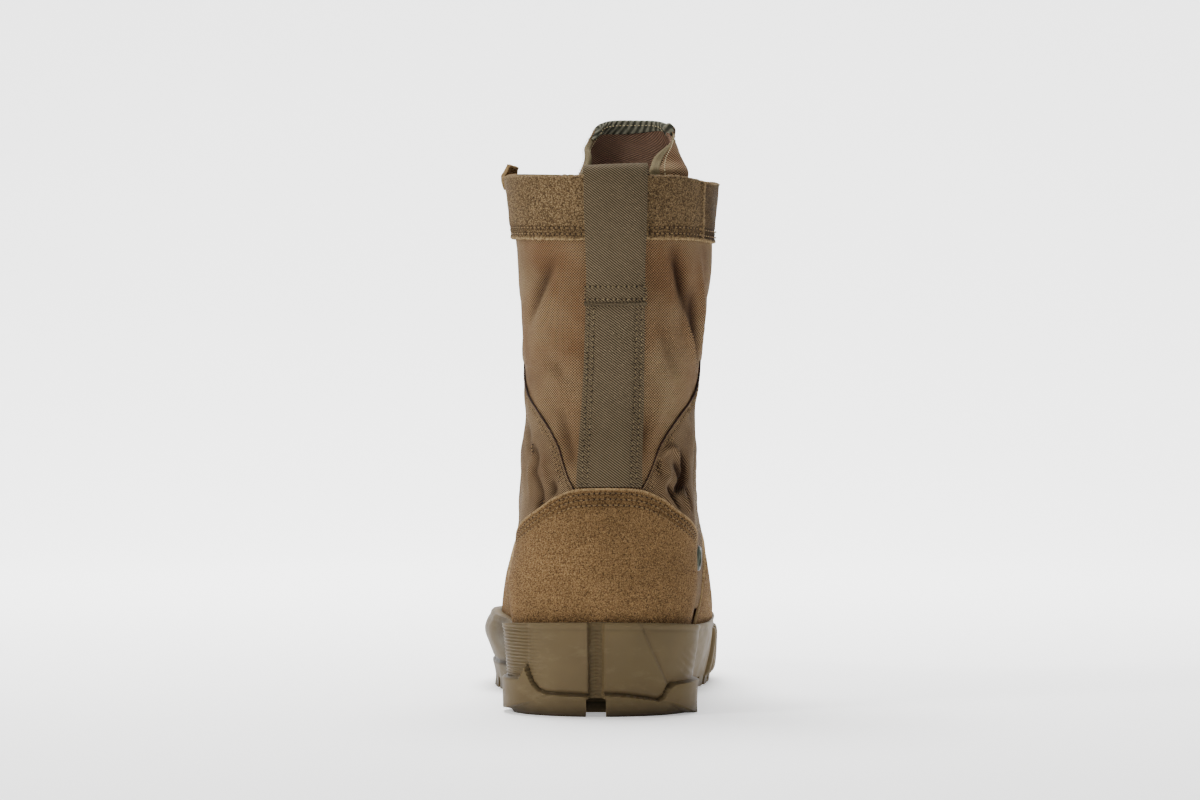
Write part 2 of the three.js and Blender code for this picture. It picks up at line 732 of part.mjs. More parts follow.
// The tongue follows the inside of the shaft, then leaves it above the collar
function tongueSolid() {
  const gap = upperWall + clearance + tongueEase;
  const across = 10;
  const inside = 8;
  const inner = [];
  const outer = [];
  const topPoint = (rise, share, inset) => {
    const row = (column) => lookUp(TONGUE_TOP, "rise", rise, column);
    const angle = mix(row("left"), row("right"), share);
    const half = row("half") * tongueTopWidth - inset;
    const depth = row("depth") * tongueTopWidth - inset;
    const middle = row("centre") * tongueTopWidth;
    const front = cachedRing(collarRow).frontY - upperWall - clearance * 2;
    const back = front + row("back") * tongueTopWidth - row("depth") * tongueTopWidth;
    return new THREE.Vector3(
      middle + half * Math.sin(angle),
      back + depth * Math.cos(angle),
      cachedRing(collarRow).frontZ + rise * tongueRise,
    );
  };
  for (let s = 0; s <= inside; s += 1) {
    const row = mix(tongueFirstRow, collarRow - 1.3, s / inside);
    const spread = mix(tongueFootSpread, tongueShaftSpread, smooth(s / inside));
    const width = (spread * heelWidth) / 2;
    const line = (offset) =>
      Array.from({ length: across + 1 }, (_, c) => {
        const signed = (c / across) * 2 - 1;
        const turn = turnFromFront(row, signed < 0 ? -1 : 1, Math.max(Math.abs(signed) * width, 0.001));
        return offsetPoint(turn, row, offset);
      });
    inner.push(line(-gap - tongueThickness));
    outer.push(line(-gap));
  }
  for (const rise of [-0.1, 0.2, 0.5, 0.8, 1]) {
    const line = (inset) => Array.from({ length: across + 1 }, (_, c) => topPoint(rise, c / across, inset));
    inner.push(line(tongueThickness));
    outer.push(line(0));
  }
  return block(inner, outer).intersect(lastForm(tongueEase - gap, 0, collarRow, 1, tongueRise * 2));
}

// Places up the lacing, alike for eyelets, hooks and laces
const pairCount = eyeletPairs + hookPairs;
const pairRow = (i) =>
  mix(eyestayRow + firstPairRise, collarRow - lastPairDrop, (i / (pairCount - 1)) ** pairSpread);
const eyeletInset = eyestayWidth * eyeletInsetShare;
function lacingFrame(i, side) {
  const row = pairRow(i);
  const seat = i < eyeletPairs ? eyeletSeat : hookSeat;
  const turn = throatEdge(row, side, eyeletInset);
  const base = offsetPoint(turn, row, overlayOuter + clearance + seat);
  const outward = outwardAt(turn, row);
  const upward = offsetPoint(turn, row + 0.1, 0).sub(offsetPoint(turn, row - 0.1, 0)).normalize();
  const across = new THREE.Vector3().crossVectors(upward, outward).normalize();
  const up = new THREE.Vector3().crossVectors(outward, across).normalize();
  return { base, across, up, outward };
}
const placedIn = (frame) => {
  const matrix = new THREE.Matrix4().makeBasis(frame.across, frame.up, frame.outward);
  return matrix.setPosition(frame.base);
};

function washerGeometry(outer, hole, thickness) {
  const [r, h, t] = [outer / 2, hole / 2, thickness];
  const profile = [
    [h, 0], [r, 0], [r - t * 0.3, t * 0.7], [(r + h) / 2, t], [h, t * 0.6], [h, 0],
  ].map(([x, y]) => new THREE.Vector2(x, y));
  const washer = new THREE.LatheGeometry(profile, 10);
  washer.rotateX(Math.PI / 2);
  return washer;
}

// A speed hook: a base strip that rises and turns back over itself
function hookGeometry(side) {
  const [l, h, m] = [hookLength, hookHeight, hookMetal];
  const outline = new THREE.Shape([
    [-l * 0.5, 0], [l * 0.5, 0], [l * 0.58, h * 0.5], [l * 0.42, h], [-l * 0.1, h],
    [-l * 0.1, h - m], [l * 0.34, h - m], [l * 0.45, h * 0.5], [l * 0.4, m], [-l * 0.5, m],
  ].map(([x, y]) => new THREE.Vector2(x, y)));
  const hook = new THREE.ExtrudeGeometry(outline, { depth: hookWidth, bevelEnabled: false });
  hook.translate(0, 0, -hookWidth / 2);
  hook.rotateX(Math.PI / 2);
  if (side > 0) hook.rotateZ(Math.PI);
  return hook;
}

// Laces: a bar at the bottom and crossings above it, laid over the throat
const laceAnchor = (i, side) => laceAnchorAt(pairRow(i), side);
function laceAnchorAt(row, side) {
  const turn = throatEdge(row, side, eyeletInset - eyeletDiameter / 2 - clearance - laceDiameter * 0.2);
  return offsetPoint(turn, row, overlayOuter + clearance + laceDiameter / 2 + eyeletSeat * 1.5);
}
function laceTube(from, to, row) {
  const steps = 4;
  const over = offsetPoint(Math.PI - 0.001, row, laceRise);
  const middle = over.multiplyScalar(2).sub(from.clone().add(to).multiplyScalar(0.5));
  const path = new THREE.QuadraticBezierCurve3(from, middle, to);
  const sides = 5;
  const ring = Array.from({ length: sides }, (_, k) => {
    const angle = (k / sides) * Math.PI * 2;
    return new THREE.Vector2(Math.cos(angle), Math.sin(angle)).multiplyScalar(laceDiameter / 2);
  });
  return solidFrom(
    new THREE.ExtrudeGeometry(new THREE.Shape(ring), { extrudePath: path, steps, bevelEnabled: false }),
  );
}

// Drain vents: screened rings low on the inner side
function ventFrame(share) {
  const turn = Math.acos(1 - 2 * share);
  const base = offsetPoint(turn, ventRow, clearance * 2);
  const outward = outwardAt(turn, ventRow);
  const across = new THREE.Vector3().crossVectors(new THREE.Vector3(0, 0, 1), outward).normalize();
  const up = new THREE.Vector3().crossVectors(outward, across).normalize();
  return { base, across, up, outward };
}

// Materials
const finish = (color, roughness, metalness = 0) =>
  new THREE.MeshStandardMaterial({ color, roughness, metalness });
const rubber = finish(0x6f624d, 0.7);
const nylon = finish(0x7d664c, 0.85);
const suede = finish(0x745a3c, 0.95);
const webbing = finish(0x5d503f, 0.85);
const lining = finish(0x48392e, 0.95);
const metal = finish(0xa8a49a, 0.4, 0.9);
const cord = finish(0x5a4c38, 0.9);

function meshOf(name, shape, material, matrix) {
  let geometry = shape;
  if (!shape.isBufferGeometry) {
    const data = shape.getMesh();
    geometry = new THREE.BufferGeometry();
    geometry.setAttribute("position", new THREE.BufferAttribute(Float32Array.from(data.vertProperties), 3));
    geometry.setIndex(new THREE.BufferAttribute(Uint32Array.from(data.triVerts), 1));
    geometry.computeVertexNormals();
  }
  const mesh = new THREE.Mesh(geometry, material);
  mesh.name = name;
  if (matrix) mesh.applyMatrix4(matrix);
  return mesh;
}

const boot = new THREE.Group();
boot.add(meshOf("outsole", outsoleSolid(), rubber));
boot.add(meshOf("insole", insoleSolid(), lining));
boot.add(meshOf("upper", upperSolid(), nylon));
boot.add(meshOf("tongue", tongueSolid(), nylon));
boot.add(meshOf("heel_counter", counterSolid(), suede));
boot.add(meshOf("vamp", vampSolid(), suede));
boot.add(meshOf("eyestay_lateral", eyestaySolid(-1), suede));
boot.add(meshOf("eyestay_medial", eyestaySolid(1), suede));
boot.add(meshOf("collar_band", collarBandSolid(), suede));
boot.add(meshOf("back_strip", backStripSolid(), webbing));
boot.add(meshOf("pull_tab", pullTabSolid(), webbing));

for (const side of [-1, 1]) {
  const sideName = side > 0 ? "medial" : "lateral";
  for (let i = 0; i < pairCount; i += 1) {
    const matrix = placedIn(lacingFrame(i, side));
    if (i < eyeletPairs) {
      const ring = washerGeometry(eyeletDiameter, eyeletHole, eyeletThickness);
      boot.add(meshOf("eyelet_" + sideName + "_" + (i + 1), ring, metal, matrix));
    } else {
      const number = i - eyeletPairs + 1;
      boot.add(meshOf("hook_" + sideName + "_" + number, hookGeometry(side), metal, matrix));
    }
  }
}

boot.add(meshOf("lace_bar", laceTube(laceAnchor(0, -1), laceAnchor(0, 1), pairRow(0)), cord));
for (let i = 0; i + 1 < pairCount; i += 1) {
  const startRow = mix(pairRow(i), pairRow(i + 1), 0.3);
  const middleRow = mix(startRow, pairRow(i + 1), 0.5);
  const rising = laceTube(laceAnchorAt(startRow, -1), laceAnchor(i + 1, 1), middleRow);
  const falling = laceTube(laceAnchorAt(startRow, 1), laceAnchor(i + 1, -1), middleRow);
  boot.add(meshOf("lace_cross_" + (i + 1), rising.add(falling), cord));
}

ventPlaces.forEach((share, i) => {
  const ring = washerGeometry(ventDiameter, ventDiameter * 0.3, ventThickness);
  boot.add(meshOf("drain_vent_" + (i + 1), ring, metal, placedIn(ventFrame(share))));
});

export default boot;
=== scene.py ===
# %% [markdown]
# # A left jungle boot, seen from behind
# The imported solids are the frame. Each visible piece of the boot is made again here with
# finer surfaces, and stands in for the plain solid of the same place.
# Lengths in the tables are millimetres, as a pattern maker writes them.

# %% Frame
import math
import bpy
import numpy as np
from mathutils import Matrix, Vector


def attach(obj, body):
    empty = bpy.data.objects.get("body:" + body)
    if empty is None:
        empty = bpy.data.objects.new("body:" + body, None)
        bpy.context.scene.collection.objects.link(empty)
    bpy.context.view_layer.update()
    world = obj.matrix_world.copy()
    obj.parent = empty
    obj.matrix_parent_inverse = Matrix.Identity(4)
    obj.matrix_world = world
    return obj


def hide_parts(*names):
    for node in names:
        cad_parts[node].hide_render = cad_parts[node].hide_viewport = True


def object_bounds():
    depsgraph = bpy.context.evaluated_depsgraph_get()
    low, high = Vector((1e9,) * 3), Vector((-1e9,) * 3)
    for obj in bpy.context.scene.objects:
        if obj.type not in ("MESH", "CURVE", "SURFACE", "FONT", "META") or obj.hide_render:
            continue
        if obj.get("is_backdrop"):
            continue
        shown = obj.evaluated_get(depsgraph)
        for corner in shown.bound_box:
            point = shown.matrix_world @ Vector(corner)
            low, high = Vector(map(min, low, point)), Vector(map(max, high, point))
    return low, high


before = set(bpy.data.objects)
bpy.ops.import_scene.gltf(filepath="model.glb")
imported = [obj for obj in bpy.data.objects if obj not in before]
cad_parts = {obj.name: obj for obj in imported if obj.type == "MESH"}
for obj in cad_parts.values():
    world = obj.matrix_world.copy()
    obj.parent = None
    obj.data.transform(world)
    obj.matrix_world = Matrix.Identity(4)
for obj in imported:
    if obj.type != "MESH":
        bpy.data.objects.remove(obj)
cad_box = [list(corner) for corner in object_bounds()]
MM = 0.001
print("nodes in the frame:", len(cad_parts))

# %% [markdown]
# ## Camera, floor and light
# The photograph is taken level, from straight behind the heel. The floor is a pale bowl
# whose rim rises far away, so that no horizon line crosses the picture.

# %% Camera
CAMERA_BACK, CAMERA_HEIGHT, LENS = 1.54, 0.1347, 106.2
camera_data = bpy.data.cameras.new("photo_camera")
camera_data.sensor_width = 36
camera_data.lens = LENS
camera = bpy.data.objects.new("photo_camera", camera_data)
camera.location = (0, -CAMERA_BACK, CAMERA_HEIGHT)
camera.rotation_euler = (math.pi / 2, 0, 0)
bpy.context.scene.collection.objects.link(camera)
bpy.context.scene.camera = camera

print("camera:", camera.location[:])


# %% Choosing objects and applying modifiers
def pick(*objects):
    bpy.ops.object.select_all(action="DESELECT")
    for one in objects:
        one.select_set(True)
    bpy.context.view_layer.objects.active = objects[0]


def apply_modifier(piece, kind, **settings):
    """Adds a modifier, sets it and applies it."""
    pick(piece)
    bpy.ops.object.modifier_add(type=kind)
    modifier = piece.modifiers[-1]
    for key, value in settings.items():
        setattr(modifier, key, value)
    bpy.ops.object.modifier_apply(modifier=modifier.name)


# %% Lights
def area_light(name, place, target, size, power, color=(1, 1, 1)):
    data = bpy.data.lights.new(name, "AREA")
    data.shape = "DISK"
    data.size = size
    data.energy = power
    data.color = color
    light = bpy.data.objects.new(name, data)
    light.location = place
    aim = Vector(target) - Vector(place)
    light.rotation_euler = aim.to_track_quat("-Z", "Y").to_euler()
    bpy.context.scene.collection.objects.link(light)


SHAFT = (0, 0.05, 0.13)
area_light("key_left", (-1.75, -0.95, 1.25), SHAFT, 0.5, 34, (1, 0.985, 0.95))
area_light("fill_front", (0.3, -2.4, 0.9), SHAFT, 0.8, 4, (0.98, 0.99, 1))
area_light("top_soft", (-0.2, 0.7, 1.9), (0, 0.2, 0), 1.4, 98)
area_light("wall_wash", (0, 1.3, 2.2), (0, 3.6, 0.5), 2.4, 170)
world = bpy.data.worlds.new("studio")
bpy.context.scene.world = world
world.use_nodes = True
sky = world.node_tree.nodes["Background"].inputs
sky["Color"].default_value, sky["Strength"].default_value = (1, 1, 1, 1), 0.05
print("lights:", [light.name for light in bpy.data.lights])

# %% [markdown]
# ## The last
# A boot is pulled over a last, so every piece of the upper is measured on it. The last is
# twelve rings from the sole's feather line to the collar. A place on it is a turn round
# the ring, 0 at the heel's back and above 0 on the inner side, and a row up the rings.
# Worn leather gives: the inner side of the collar has dropped and opened a little.

# %% The rings of the last
FOOT, SETBACK, BALL, HEEL, SHAFT_WIDE = 300, 40, 108, 85, 80.6
HEEL_HIGH, ANKLE_RISE, SHAFT_RISE = 26, 104, 100.8
RINGS = np.array([
    [0.03, 0.0, 0.953, -0.03, 0.38, 0.27, 0.4, 0.36, 0.33, 0.375, 0.315, 0.005, 0.06],
    [0.023, 0.067, 0.972, 0.05, 0.34, 0.28, 0.42, 0.412, 0.38, 0.436, 0.365, 0.006, 0.07],
    [0.02, 0.154, 0.972, 0.154, 0.22, 0.29, 0.43, 0.447, 0.41, 0.446, 0.37, 0.007, 0.07],
    [0.014, 0.279, 0.936, 0.285, 0.1, 0.3, 0.43, 0.463, 0.435, 0.428, 0.35, 0.011, 0.07],
    [0.02, 0.394, 0.862, 0.37, 0.03, 0.31, 0.42, 0.45, 0.45, 0.402, 0.315, 0.02, 0.065],
    [0.032, 0.519, 0.744, 0.455, 0, 0.32, 0.42, 0.438, 0.463, 0.382, 0.29, 0.027, 0.055],
    [0.046, 0.673, 0.62, 0.612, 0, 0.33, 0.42, 0.425, 0.46, 0.345, 0.28, 0.03, 0.045],
    [0.054, 0.827, 0.518, 0.808, 0, 0.35, 0.39, 0.437, 0.45, 0.333, 0.28, 0.035, 0.042],
    [0.06, 1.0, 0.443, 1.06, 0, 0.37, 0.34, 0.459, 0.438, 0.333, 0.28, 0.042, 0.046],
    [0.057, 1.297, 0.412, 1.38, 0, 0.39, 0.32, 0.5, 0.475, 0.333, 0.28, 0.053, 0.054],
    [0.048, 1.644, 0.409, 1.71, 0, 0.39, 0.28, 0.518, 0.505, 0.333, 0.28, 0.045, 0.054],
    [0.042, 2.0, 0.415, 2.07, 0, 0.4, 0.24, 0.515, 0.565, 0.333, 0.28, 0.02, 0.052],
])
TOP_ROW = len(RINGS) - 1
WIDTH_PLACES = np.array([0.133, 0.35, 0.6, 0.85]) * FOOT - SETBACK
COLLAR_Z = HEEL_HIGH + ANKLE_RISE + SHAFT_RISE


def mix(a, b, share):
    return a + (b - a) * share


def smooth(share):
    share = np.clip(share, 0, 1)
    return share * share * (3 - 2 * share)


def step_up(distance, soft=0.5):
    return smooth(distance / soft + 0.5)


def hill(distance, width):
    """1 where the distance is nothing, gone a few widths away."""
    return np.exp(-((distance / width) ** 2))


def unit(vectors):
    return vectors / np.maximum(np.linalg.norm(vectors, axis=-1, keepdims=True), 1e-9)


def run_along(line):
    """How far each point of a line lies from its start, along the line."""
    return np.concatenate([[0], np.cumsum(np.linalg.norm(np.diff(line, axis=0), axis=1))])


def bend_through(a, b, c, d, s):
    """A smooth step from b to c that leaves a and heads for d."""
    return b + 0.5 * s * (c - a + s * (2 * a - 5 * b + 4 * c - d + s * (3 * (b - c) + d - a)))


def spline(rows, position):
    """A smooth curve through the rows of a table, at any position between them."""
    rows = np.asarray(rows, float)
    wide = np.concatenate([[2 * rows[0] - rows[1]], rows, [2 * rows[-1] - rows[-2]]])
    position = np.asarray(position, float)
    i = np.clip(np.floor(position).astype(int), 0, len(rows) - 2)
    s = position - i
    s = s.reshape(s.shape + (1,) * (rows.ndim - 1))
    return bend_through(wide[i], wide[i + 1], wide[i + 2], wide[i + 3], s)


def half_width(halves, y):
    """The last's half width at a place along the foot, from its four stations."""
    i = np.clip(np.searchsorted(WIDTH_PLACES, y, side="left") - 1, 0, 2)
    s = np.clip((y - WIDTH_PLACES[i]) / (WIDTH_PLACES[i + 1] - WIDTH_PLACES[i]), 0, 1)
    wide = np.stack([2 * halves[0] - halves[1], *halves, 2 * halves[3] - halves[2]])
    return bend_through(*(np.take_along_axis(wide, (i + k)[None], 0)[0] for k in range(4)), s)


def end_round(distance, radius):
    return np.where(distance >= radius, 1, np.sqrt(np.clip(1 - (1 - distance / radius) ** 2, 0, 1)))


def last_height(share):
    return HEEL_HIGH + np.minimum(share, 1) * ANKLE_RISE + np.maximum(share - 1, 0) * SHAFT_RISE


def last_point(turn, row):
    """Points of the last's surface, in millimetres."""
    turn, row = np.broadcast_arrays(np.asarray(turn, float), np.asarray(row, float))
    at = np.moveaxis(spline(RINGS, np.clip(row, 0, TOP_ROW)), -1, 0)
    body = mix(HEEL, SHAFT_WIDE, smooth(row - 7))
    halves = np.stack([at[7] * body, at[8] * body, at[9] * BALL, at[10] * BALL])
    back, front = at[0] * FOOT - SETBACK, at[2] * FOOT - SETBACK
    side = np.sign(turn) * np.where(np.abs(turn) > math.pi, -1, 1)
    share = (1 - np.cos(turn)) / 2
    span = front - back
    y = back + span * share
    ends = end_round(span * share, at[5] * BALL) * end_round(span * (1 - share), at[6] * BALL)
    centre = mix(at[11], at[12], share**2) * BALL
    dip = np.sin(math.pi * np.clip((share - 0.12) / 0.88, 0, 1)) ** 2
    over = np.maximum(row - TOP_ROW, 0) + np.minimum(row, 0)
    z = mix(last_height(at[1]), last_height(at[3]), share) - at[4] * HEEL_HIGH * dip
    inner = (turn > 0) * (1 - smooth((np.abs(turn) - 2.4) / 0.5))
    z = z - 3.4 * inner * smooth((turn - 0.6) / 0.9) * smooth((row - 9) / 2)
    flare = 2.9 * inner * smooth((turn - 1.0) / 0.5) * smooth((row - 9) / 1.0)
    x = centre + side * half_width(halves, y) * ends + flare
    return np.stack([x, y, z + over * 0.46 * HEEL_HIGH], -1)


def outward(turn, row):
    """The direction that the last's surface faces."""
    low, high = np.clip(row - 0.1, 0.001, TOP_ROW - 0.2), np.clip(row + 0.1, 0.2, TOP_ROW - 0.001)
    along = last_point(turn + 0.02, row) - last_point(turn - 0.02, row)
    rise = last_point(turn, high) - last_point(turn, low)
    return unit(np.cross(along, rise))


def on_last(turn, row, offset=0.0):
    """Points that lie an offset above the last."""
    turn, row, offset = np.broadcast_arrays(
        np.asarray(turn, float), np.asarray(row, float), np.asarray(offset, float))
    return last_point(turn, row) + outward(turn, row) * offset[..., None]


print("collar's back:", np.round(last_point(0.0, 11.0), 1))

# %% Distances round a ring
ROUND = np.linspace(-math.pi, math.pi, 361)


def ring_lengths(rows):
    """How far each turn of ROUND lies from the heel's back, round each ring."""
    points = last_point(ROUND[None, :], np.asarray(rows, float)[:, None])
    steps = np.linalg.norm(np.diff(points, axis=1), axis=2)
    total = np.concatenate([np.zeros((len(points), 1)), np.cumsum(steps, 1)], 1)
    return total - total[:, 180:181]


def turns_at(rows, lengths):
    """The turns that lie those lengths round their rings from the heel's back."""
    table = ring_lengths(rows)
    return np.stack([np.interp(lengths[r], table[r], ROUND) for r in range(len(table))])


def turn_from_front(row, side, length):
    """The turn at a length round the ring from its front."""
    row, length = np.broadcast_arrays(np.atleast_1d(np.asarray(row, float)), np.asarray(length, float))
    table = ring_lengths(row)
    edge = table[:, -1] if side > 0 else table[:, 0]
    wanted = edge - side * length
    return np.array([np.interp(wanted[r], table[r], ROUND) for r in range(len(table))])


def row_at_back(height):
    rows = np.linspace(0, TOP_ROW, 1101)
    return float(np.interp(height, last_point(0.0, rows)[:, 2], rows))


def turn_at_x(row, x):
    """The turn near the heel's back at which the last is that far to the side."""
    turns = np.linspace(-1.25, 1.25, 251)
    row, x = np.broadcast_arrays(np.asarray(row, float), np.asarray(x, float))
    flat = [np.interp(b, last_point(turns, a)[:, 0], turns) for a, b in zip(row.ravel(), x.ravel())]
    return np.array(flat).reshape(row.shape)


RULER_ROWS = np.linspace(0, TOP_ROW, 67)
RULER = ring_lengths(RULER_ROWS)


def cloth_map(turns, row):
    """How far each point lies round and up the last, for a cloth whose columns keep a turn."""
    flat = np.empty(row.shape + (2,))
    for k, turn in enumerate(turns):
        around = [np.interp(turn, ROUND, ring) for ring in RULER]
        climb = run_along(last_point(turn, RULER_ROWS))
        flat[:, k, 0] = np.interp(row[:, k], RULER_ROWS, around)
        flat[:, k, 1] = np.interp(row[:, k], RULER_ROWS, climb) - np.interp(6.0, RULER_ROWS, climb)
    return flat


print("rows at 100, 150 and 200 mm:", [round(row_at_back(z), 2) for z in (100, 150, 200)])

# %% [markdown]
# ## Finishes
# Each finish is a small tree of nodes. Cloths read the piece's own UV map, which is in
# metres along and up the surface, so a weave keeps its size round the boot. Leather and
# rubber read Object coordinates, because their grain has no direction.


# %% Helpers for finishes
def linear(red, green, blue):
    """A colour given as a screen shows it, 0 to 255."""
    def one(c):
        c /= 255
        return c / 12.92 if c <= 0.04045 else ((c + 0.055) / 1.055) ** 2.4
    return (one(red), one(green), one(blue), 1)


class Finish:
    """A material and short ways to add nodes to it."""

    def __init__(self, name, roughness=0.8, metallic=0.0, specular=0.2):
        self.material = bpy.data.materials.new(name)
        self.material.use_nodes = True
        self.nodes = self.material.node_tree.nodes
        self.links = self.material.node_tree.links
        self.shader = self.nodes["Principled BSDF"]
        for key, value in (("Roughness", roughness), ("Metallic", metallic), ("Specular IOR Level", specular)):
            self.shader.inputs[key].default_value = value
        self.place = self.nodes.new("ShaderNodeTexCoord")

    def put(self, kind, *values, **settings):
        node = self.nodes.new("ShaderNode" + kind)
        for key, value in settings.items():
            setattr(node, key, value)
        for index, value in enumerate(values):
            if value is None:
                continue
            if isinstance(value, bpy.types.NodeSocket):
                self.links.new(value, node.inputs[index])
            else:
                node.inputs[index].default_value = value
        return node

    def maths(self, operation, a, b=0.0):
        return self.put("Math", a, b, operation=operation).outputs[0]

    def noise(self, scale, detail=3.0, rough=0.55, stretch=(1, 1, 1), uv=False):
        spot = self.place.outputs["UV" if uv else "Object"]
        mapping = self.put("Mapping", spot, None, None, stretch)
        node = self.nodes.new("ShaderNodeTexNoise")
        self.links.new(mapping.outputs[0], node.inputs["Vector"])
        node.inputs["Scale"].default_value = scale
        node.inputs["Detail"].default_value = detail
        node.inputs["Roughness"].default_value = rough
        return node.outputs[0]

    def cells(self, scale, uv=False):
        node = self.nodes.new("ShaderNodeTexVoronoi")
        self.links.new(self.place.outputs["UV" if uv else "Object"], node.inputs["Vector"])
        node.inputs["Scale"].default_value = scale
        return node.outputs[0]

    def ramp(self, value, *stops):
        """Colours or greys along a value: each stop is (place, colour or grey)."""
        node = self.nodes.new("ShaderNodeValToRGB")
        self.links.new(value, node.inputs[0])
        while len(node.color_ramp.elements) < len(stops):
            node.color_ramp.elements.new(0.5)
        for element, (spot, color) in zip(node.color_ramp.elements, stops):
            element.position = spot
            element.color = color if isinstance(color, tuple) else (color, color, color, 1)
        return node.outputs[0]

    def blend(self, share, a, b, how="MIX"):
        node = self.nodes.new("ShaderNodeMix")
        node.data_type = "RGBA"
        node.blend_type = how
        for socket, value in ((node.inputs[0], share), (node.inputs[6], a), (node.inputs[7], b)):
            if isinstance(value, bpy.types.NodeSocket):
                self.links.new(value, socket)
            else:
                socket.default_value = value
        return node.outputs[2]

    def tint(self, share, base, tone):
        """A share of the base multiplied by a tone."""
        return self.blend(share, base, self.blend(1.0, base, tone, "MULTIPLY"))

    def shades(self, value, places, colors):
        return self.ramp(value, *((at, linear(*color)) for at, color in zip(places, colors)))

    def flat_axes(self):
        """The two directions of the piece's own UV map, in metres."""
        return self.put("SeparateXYZ", self.place.outputs["UV"]).outputs[:2]

    def mark(self, name):
        return self.put("Attribute", attribute_name=name).outputs["Fac"]

    def color(self, socket):
        self.links.new(socket, self.shader.inputs["Base Color"])

    def rough(self, socket):
        self.links.new(socket, self.shader.inputs["Roughness"])

    def bump(self, *layers):
        """Layers of relief, each a height socket, a strength and a depth in millimetres."""
        normal = None
        for height, strength, depth in layers:
            node = self.nodes.new("ShaderNodeBump")
            node.inputs["Strength"].default_value = strength
            node.inputs["Distance"].default_value = depth * MM
            self.links.new(height, node.inputs["Height"])
            if normal is not None:
                self.links.new(normal, node.inputs["Normal"])
            normal = node.outputs[0]
        self.links.new(normal, self.shader.inputs["Normal"])


# %% Rubber of the sole
def rubber_finish(name, light, dark, painted_shade):
    """Moulded rubber, darkened towards a painted shade colour in its grooves, under its lips, on its underside
    and low down, by a mark.
    """
    f = Finish(name, roughness=0.62, specular=0.1)
    broad = f.noise(22, 3)
    fine = f.noise(900, 2, 0.6)
    scuff = f.ramp(f.noise(60, 5, 0.7, (1, 1, 2.5)), (0.56, 0.0), (0.74, 1.0))
    tone = f.blend(f.ramp(broad, (0.3, 0.0), (0.7, 1.0)), linear(*dark), linear(*light))
    dusty = f.blend(f.maths("MULTIPLY", scuff, 0.12), tone, linear(128, 116, 92))
    # Painted shade: the mark blends the rubber towards a near-black shade colour.
    f.color(f.blend(f.mark("painted_shade"), dusty, linear(*painted_shade)))
    f.rough(f.ramp(f.noise(140, 4, 0.6), (0.3, 0.5), (0.75, 0.7)))
    f.bump((fine, 0.25, 0.08), (f.noise(240, 3), 0.18, 0.15))
    return f.material


# The last colour is the painted shade of the rubber's grooves and low parts.
rubber = rubber_finish("rubber_olive", (86, 73, 50), (75, 63, 43), (26, 21, 14))


# %% Woven cloths
CLOTH_ROUGH, CLOTH_GLOSS = 0.85, 0.06
# Tones that multiply into cloth for painted shade, and into suede along its marked seams.
HOLLOW_SHADE, SEAM_SHADE = linear(116, 100, 92), linear(132, 120, 110)


def weave_finish(name, pitch, tones, blotch, twist, bump=0.5):
    """A fine diagonal weave: two sets of threads that pass over each other."""
    f = Finish(name, roughness=CLOTH_ROUGH, specular=CLOTH_GLOSS)
    across, up = f.flat_axes()
    turn = 2 * math.pi / (pitch * MM)
    wobble = f.maths("MULTIPLY", f.noise(180, 2, 0.5, uv=True), 1.2)
    across, up = f.maths("MULTIPLY", across, turn), f.maths("MULTIPLY", up, turn * twist)
    one = f.maths("SINE", f.maths("ADD", f.maths("ADD", across, up), wobble))
    two = f.maths("SINE", f.maths("SUBTRACT", f.maths("SUBTRACT", across, up), wobble))
    height = f.maths("ADD", f.maths("MULTIPLY", f.maths("ADD", one, two), 0.25), 0.5)
    fibre = f.noise(2200, 2, 0.6, uv=True)
    thread = f.shades(height, (0.25, 0.5, 0.78), tones)
    patch = f.ramp(f.noise(30, 4, 0.55), (0.32, 0.0), (0.68, 1.0))
    shade = f.tint(f.maths("MULTIPLY", patch, 0.8), thread, linear(*blotch))
    shade = f.tint(0.5, shade, f.ramp(fibre, (0.3, 0.5), (0.7, 1.0)))
    # Painted shade: the cloth darkens where its piece marks crease troughs and the inner ankle.
    f.color(f.tint(f.mark("painted_cloth_shade"), shade, HOLLOW_SHADE))
    f.rough(f.ramp(fibre, (0.3, CLOTH_ROUGH - 0.08), (0.7, CLOTH_ROUGH + 0.1)))
    f.bump((height, bump, pitch * 0.35), (fibre, 0.15, 0.12))
    return f.material


nylon = weave_finish("nylon_brown", 1.3, ((54, 43, 29), (104, 86, 62), (146, 124, 94)), (205, 178, 164), 1.1)
nylon_panel = weave_finish(
    "nylon_ankle", 1.15, ((46, 37, 27), (99, 82, 61), (142, 121, 93)), (190, 172, 158), 1.3, 0.6)
lining = weave_finish("lining_mesh", 1.9, ((52, 40, 33), (98, 76, 62), (130, 104, 86)), (200, 184, 174), 1.9)


